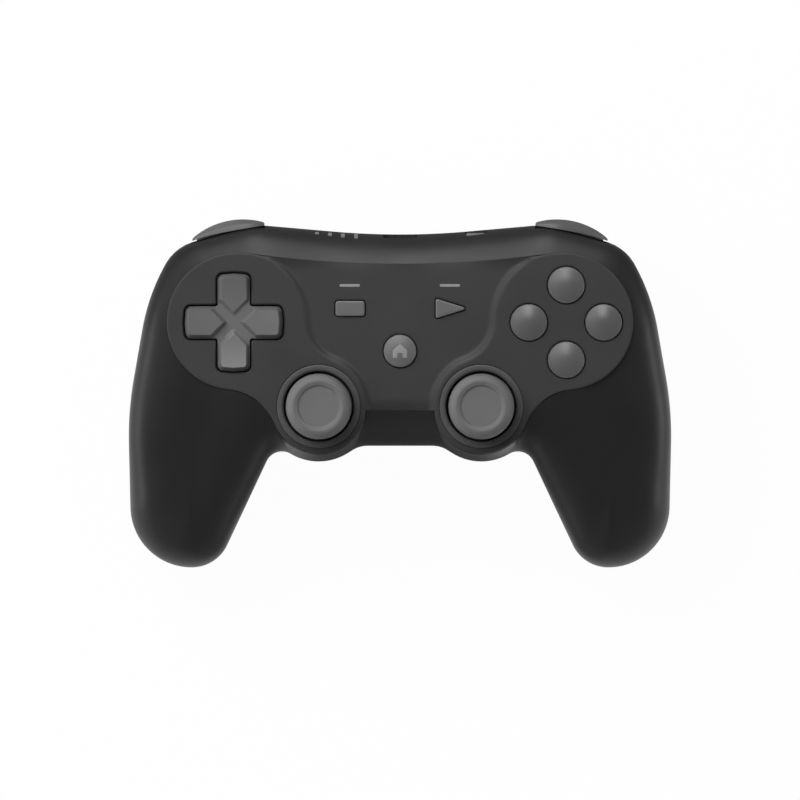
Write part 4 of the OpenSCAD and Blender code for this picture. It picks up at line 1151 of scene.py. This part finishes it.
class GAMEPAD_OT_sticks(bpy.types.Operator):
    """Thumbsticks with a rounded rim and a dished middle, and the rings round their wells"""

    bl_idname = "gamepad.sticks"
    bl_label = "Sticks and rings"

    def execute(self, context):
        dish = path_profile([
            (0, CAP_TOP - DISH_DEPTH, 0), (DISH_R, CAP_TOP - DISH_DEPTH, 0.15),
            (DISH_R + 0.4, CAP_TOP - 0.3, 0.15), (CREST_R, CAP_TOP, 1.5), (CREST_R + 0.4, CAP_TOP, 0)])
        fall = np.radians(np.linspace(0, 88, 20))
        rim = np.stack([
            CREST_R + (CAP_R - CREST_R) * np.sin(fall), CAP_TOP - RIM_DROP * (1 - np.cos(fall))], axis=-1)
        under = path_profile([
            (CAP_R, CAP_TOP - 3.45, 0), (CAP_R, CAP_TOP - 3.9, 0.3), (CAP_R - 0.9, CAP_TOP - 4.4, 0.4),
            (3.6, CAP_TOP - 4.7, 1.0), (STEM_R, STEM_LOW_Z, 0)])
        pivot, inner_r = (0, PIVOT_Z), DOME_R - DOME_WALL
        skirt = [swing(pivot, DOME_R, 72, 10, 24), swing(pivot, inner_r, 10, 72, 24)]
        cap = np.concatenate([dish[:-1], rim, under, *skirt, [(0, PIVOT_Z + inner_r - 0.1)]])
        bezel = path_profile([
            (RING_IN_R, RING_SEAT, 0), (RING_IN_R, RING_TOP, 0.7), (RING_R, RING_TOP - 0.05, 0.3),
            (RING_R, RING_SEAT, 0), (RING_IN_R, RING_SEAT, 0)])
        for side, sign in SIDES:
            spot, stick, ring = STICK * (sign, 1), f"thumbstick_{side}", f"stick_ring_{side}"
            put(f"{stick}_cap", lathe(cap, spot), "stick_rubber", stick, [stick], crease=40)
            put(f"{ring}_bezel", lathe(bezel, spot), "ring_grey", "housing", [ring])
        return {"FINISHED"}


class GAMEPAD_OT_bumpers(bpy.types.Operator):
    """Shoulder bumpers: a flat inner band, a crease, a slanted front and rounded ends"""

    bl_idname = "gamepad.bumpers"
    bl_label = "Bumpers"

    def execute(self, context):
        inner_circle, front_circle = circle_through(*BUMPER_INNER), circle_through(*BUMPER_FRONT)
        x, tuck = rounded_stations(BUMPER_INNER[0][0] + 0.05, BUMPER_INNER[2][0] - 0.05, BUMPER_ROUND, 50)
        tuck = tuck[:, None]
        inner = on_circle(x, *inner_circle)[:, None] + tuck
        front = on_circle(x, *front_circle)[:, None] - tuck
        across, up = path_profile(BUMPER_SECTION).T
        level = shell_level(x, on_circle(x, inner_circle[0], inner_circle[1] - 0.3))
        top = softened(np.clip(level + 0.1, BUMPER_LOW + 3.5, BUMPER_TOP), 8)[:, None]
        z = BUMPER_LOW + (top - BUMPER_LOW - tuck) * up
        lean = np.tan(np.radians(BUMPER_LEAN)) * np.maximum(BUMPER_AXIS - z, 0)
        y = inner + (front - inner) * across + lean * (1 - across) * np.minimum(1, (front - inner) / 2)
        for side, sign in SIDES:
            node = f"bumper_{side}"
            grid = np.stack([sign * x[:, None] + 0 * y, y, z], axis=-1)
            put(f"{node}_key", capped(grid), "bumper_grey", node, [node])
        return {"FINISHED"}


class GAMEPAD_OT_triggers(bpy.types.Operator):
    """Triggers: a curved blade under a barrel, swept to the shoulder's line, in a housing that is its foot"""

    bl_idname = "gamepad.triggers"
    bl_label = "Triggers"

    def execute(self, context):
        outline = rounded_off(respaced(np.concatenate([swing(*arc) for arc in BLADE_ARCS]), 0.3), 5)
        low, high = box_mm("trigger_right")
        x, tuck = rounded_stations(low[0], high[0], BLADE_ROUND, 40)
        reach = (on_circle(x, *circle_through(*BUMPER_FRONT)) - 0.9 - HINGE[0]) / (BLADE_REACH_Y - HINGE[0])
        rings = []
        for at, inset_by, scale in zip(x, tuck, reach):
            y, z = moved(outline, -inset_by).T
            ahead = np.maximum(y - HINGE[0], 0)
            rings.append(np.stack([np.full(len(y), at), y - ahead * (1 - scale), z], axis=-1))
        points, faces = capped(np.stack(rings))
        spring = high[0] - 4
        bore, bore_faces = along_x(
            [(0, 30), (BORE_R, 30), (BORE_R, spring), (SPRING_R, spring), (SPRING_R, 70), (0, 70)], HINGE)
        for side, sign in SIDES:
            flip = np.array((sign, 1, 1))
            trigger = loose_mesh(f"trigger_{side}_blade", points * flip, faces)
            combined(trigger, loose_mesh("bore", bore * flip, bore_faces), "DIFFERENCE")
            dress(trigger, "shell_black", f"trigger_{side}", [f"trigger_{side}"])
            self.pod(side, flip)
        return {"FINISHED"}

    def pod(self, side, flip):
        """The trigger's housing: a block with a rounded foot, cut to the shoulder's line and hollowed."""
        low, high = box_mm("trigger_housing_right")
        (left, _, _), (right, _, top) = low, high
        side_loop = rounded_loop([(30, 0), (30, top), (49, top), (49, 0)], [6, 0.4, 0.4, 7.5])
        block, block_faces = capped(np.stack([np.insert(side_loop, 0, x, axis=1) for x in (left, right)]))
        plan = rounded_loop(
            [(left, 30), (right, 30), (right, 42.4), (58, 44.9), (50, 47.2), (44, 48.6), (left, 48.6)],
            [1.2, 1.2, 2.2, 8, 20, 20, 2.2])
        room = np.array([(left + 3, 35.5), (right - 3, 35.5), (right - 3, 66), (left + 3, 66)])
        pin = along_x([(0, 30), (PIN_HOLE_R, 30), (PIN_HOLE_R, 70), (0, 70)], HINGE)
        piece = loose_mesh(f"trigger_housing_{side}_block", block * flip, block_faces)
        cuts = (
            (prism(plan, -1, 60), "INTERSECT"), (prism(room, 3.5, 60), "DIFFERENCE"), (pin, "DIFFERENCE"))
        for (points, faces), operation in cuts:
            combined(piece, loose_mesh("tool", points * flip, faces), operation)
        bevel = piece.modifiers.new("edges", "BEVEL")
        bevel.width, bevel.segments = 0.4 * MM, 3
        bevel.limit_method, bevel.angle_limit = "ANGLE", np.radians(50)
        dress(piece, "shell_black", "housing", [f"trigger_housing_{side}"])


class GAMEPAD_OT_frame_parts(bpy.types.Operator):
    """Gives every CAD piece that still shows the finish of its slot"""

    bl_idname = "gamepad.frame_parts"
    bl_label = "Frame parts"

    def execute(self, context):
        for part in frame["record"]["subparts"]:
            mesh = frame["nodes"][part["node"]].data
            mesh.materials.clear()
            mesh.materials.append(finish(part["material_slot"]))
        return {"FINISHED"}


class GAMEPAD_OT_stage(bpy.types.Operator):
    """White floor, soft studio light and a camera straight over the face"""

    bl_idname = "gamepad.stage"
    bl_label = "Stage"

    def execute(self, context):
        studio = context.scene.gamepad_studio
        self.floor()
        self.sky(context.scene, studio.fill_level)
        self.lamp("key", KEY_PLACE, (1.0, 1.0), studio.key_power).visible_glossy = False
        self.lamp("glint", KEY_PLACE, (0.5, 0.5), studio.key_power * GLINT_SHARE).visible_diffuse = False
        self.lamp("sheen", SHEEN_PLACE, (0.45, 1.5), studio.sheen_power).visible_diffuse = False
        for name, x in (("left_strip", -0.9), ("right_strip", 0.9)):
            self.lamp(name, (x, -0.1, 0.15), (0.5, 0.25), studio.key_power * STRIP_SHARE)

        camera = bpy.data.cameras.new("camera")
        camera.lens = camera.sensor_width * studio.distance / studio.view_width
        camera.clip_end = 50.0
        eye = bpy.data.objects.new("camera", camera)
        eye.location = (0.0, CAMERA_Y, ISLAND_TOP * MM + studio.distance)
        context.scene.collection.objects.link(eye)
        context.scene.camera = eye
        context.scene.view_settings.view_transform = "Standard"
        return {"FINISHED"}

    def floor(self):
        """A white floor that keeps the shadow; gloss sees it dim, and brighter beside the grips."""
        corners = FLOOR_HALF * np.array([(-1, -1, 0), (1, -1, 0), (1, 1, 0), (-1, 1, 0)])
        floor = loose_mesh("floor", corners, [[0, 1, 2, 3]])
        white = Surface(bpy.data.materials.new("floor_white"))
        camera_ray = white.add("ShaderNodeLightPath", out="Is Camera Ray")
        glossy_ray = camera_ray.beside("Is Glossy Ray")
        matt = white.add("ShaderNodeBsdfDiffuse", {}, {"Color": (0.9, 0.9, 0.9, 1)})
        place = white.add("ShaderNodeTexCoord", out="Object")
        x = white.add("ShaderNodeSeparateXYZ", {}, {0: place}, "X")
        aside = white.add("ShaderNodeMath", {"operation": "ABSOLUTE"}, {0: x})
        ahead = x.beside("Y").eased(0.0, 0.06, FLOOR_BRIGHT, 0.0)
        sheen = FLOOR_DIM + ahead * aside.eased(0.02, 0.05)
        shade = sheen + (1 - sheen) * camera_ray
        glow = white.add("ShaderNodeEmission", {}, {"Color": shade, "Strength": 1.0})
        seen = white.add("ShaderNodeMixShader", {}, {0: 0.97 * camera_ray + glossy_ray, 1: matt, 2: glow})
        white.add("ShaderNodeOutputMaterial", {}, {"Surface": seen})
        floor.data.materials.append(white.owner)

    def sky(self, scene, fill):
        """An even light from all round, weaker from straight above, that the camera sees as white."""
        scene.world = bpy.data.worlds.new("studio")
        sky = Surface(scene.world)
        camera_ray = sky.add("ShaderNodeLightPath", out="Is Camera Ray")
        way = sky.add("ShaderNodeTexCoord", out="Generated")
        overhead = sky.add("ShaderNodeSeparateXYZ", {}, {0: way}, "Z").eased(0.7, 0.95)
        soft = fill * (1 - 0.7 * overhead)
        level = soft + (1 - soft) * camera_ray
        light = sky.add("ShaderNodeBackground", {}, {"Color": (1, 1, 1, 1), "Strength": level})
        sky.add("ShaderNodeOutputWorld", {}, {"Surface": light})

    def lamp(self, name, place, size, power):
        """A soft light, of a width and a height, that faces the middle of the pad."""
        data = bpy.data.lights.new(name, "AREA")
        data.energy, data.shape = power, "RECTANGLE"
        data.size, data.size_y = size
        light = bpy.data.objects.new(name, data)
        light.location = place
        light.rotation_euler = (Vector((0, 0, 0.03)) - Vector(place)).to_track_quat("-Z", "Y").to_euler()
        bpy.context.scene.collection.objects.link(light)
        return light


OPERATORS = (
    GAMEPAD_OT_stage, GAMEPAD_OT_frame_parts, GAMEPAD_OT_shells, GAMEPAD_OT_plate, GAMEPAD_OT_dpad,
    GAMEPAD_OT_buttons, GAMEPAD_OT_small_buttons, GAMEPAD_OT_sticks, GAMEPAD_OT_bumpers, GAMEPAD_OT_triggers,
    GAMEPAD_OT_edge_fittings)


class GAMEPAD_PT_panel(bpy.types.Panel):
    """Lists the settings and the steps"""

    bl_idname = "GAMEPAD_PT_panel"
    bl_label = "Gamepad"
    bl_space_type = "VIEW_3D"
    bl_region_type = "UI"
    bl_category = "Gamepad"

    def draw(self, context):
        for group in (getattr(context.scene, name) for name in GROUPS):
            for name in group.__annotations__:
                self.layout.prop(group, name)
        for operator in OPERATORS:
            self.layout.operator(operator.bl_idname)


GROUPS = {
    "gamepad_finishes": GamepadFinishes, "gamepad_studio": GamepadStudio, "gamepad_details": GamepadDetails}


def register():
    """Registers the classes and hangs the settings on the scene."""
    for cls in (*GROUPS.values(), *OPERATORS, GAMEPAD_PT_panel):
        bpy.utils.register_class(cls)
    for name, cls in GROUPS.items():
        setattr(bpy.types.Scene, name, bpy.props.PointerProperty(type=cls))


def unregister():
    """Takes the settings and classes away again."""
    for name in GROUPS:
        delattr(bpy.types.Scene, name)
    for cls in (GAMEPAD_PT_panel, *reversed(OPERATORS), *reversed(tuple(GROUPS.values()))):
        bpy.utils.unregister_class(cls)


def main():
    """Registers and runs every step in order."""
    register()
    for operator in OPERATORS:
        group, name = operator.bl_idname.split(".")
        getattr(getattr(bpy.ops, group), name)()


if __name__ == "__main__":
    main()
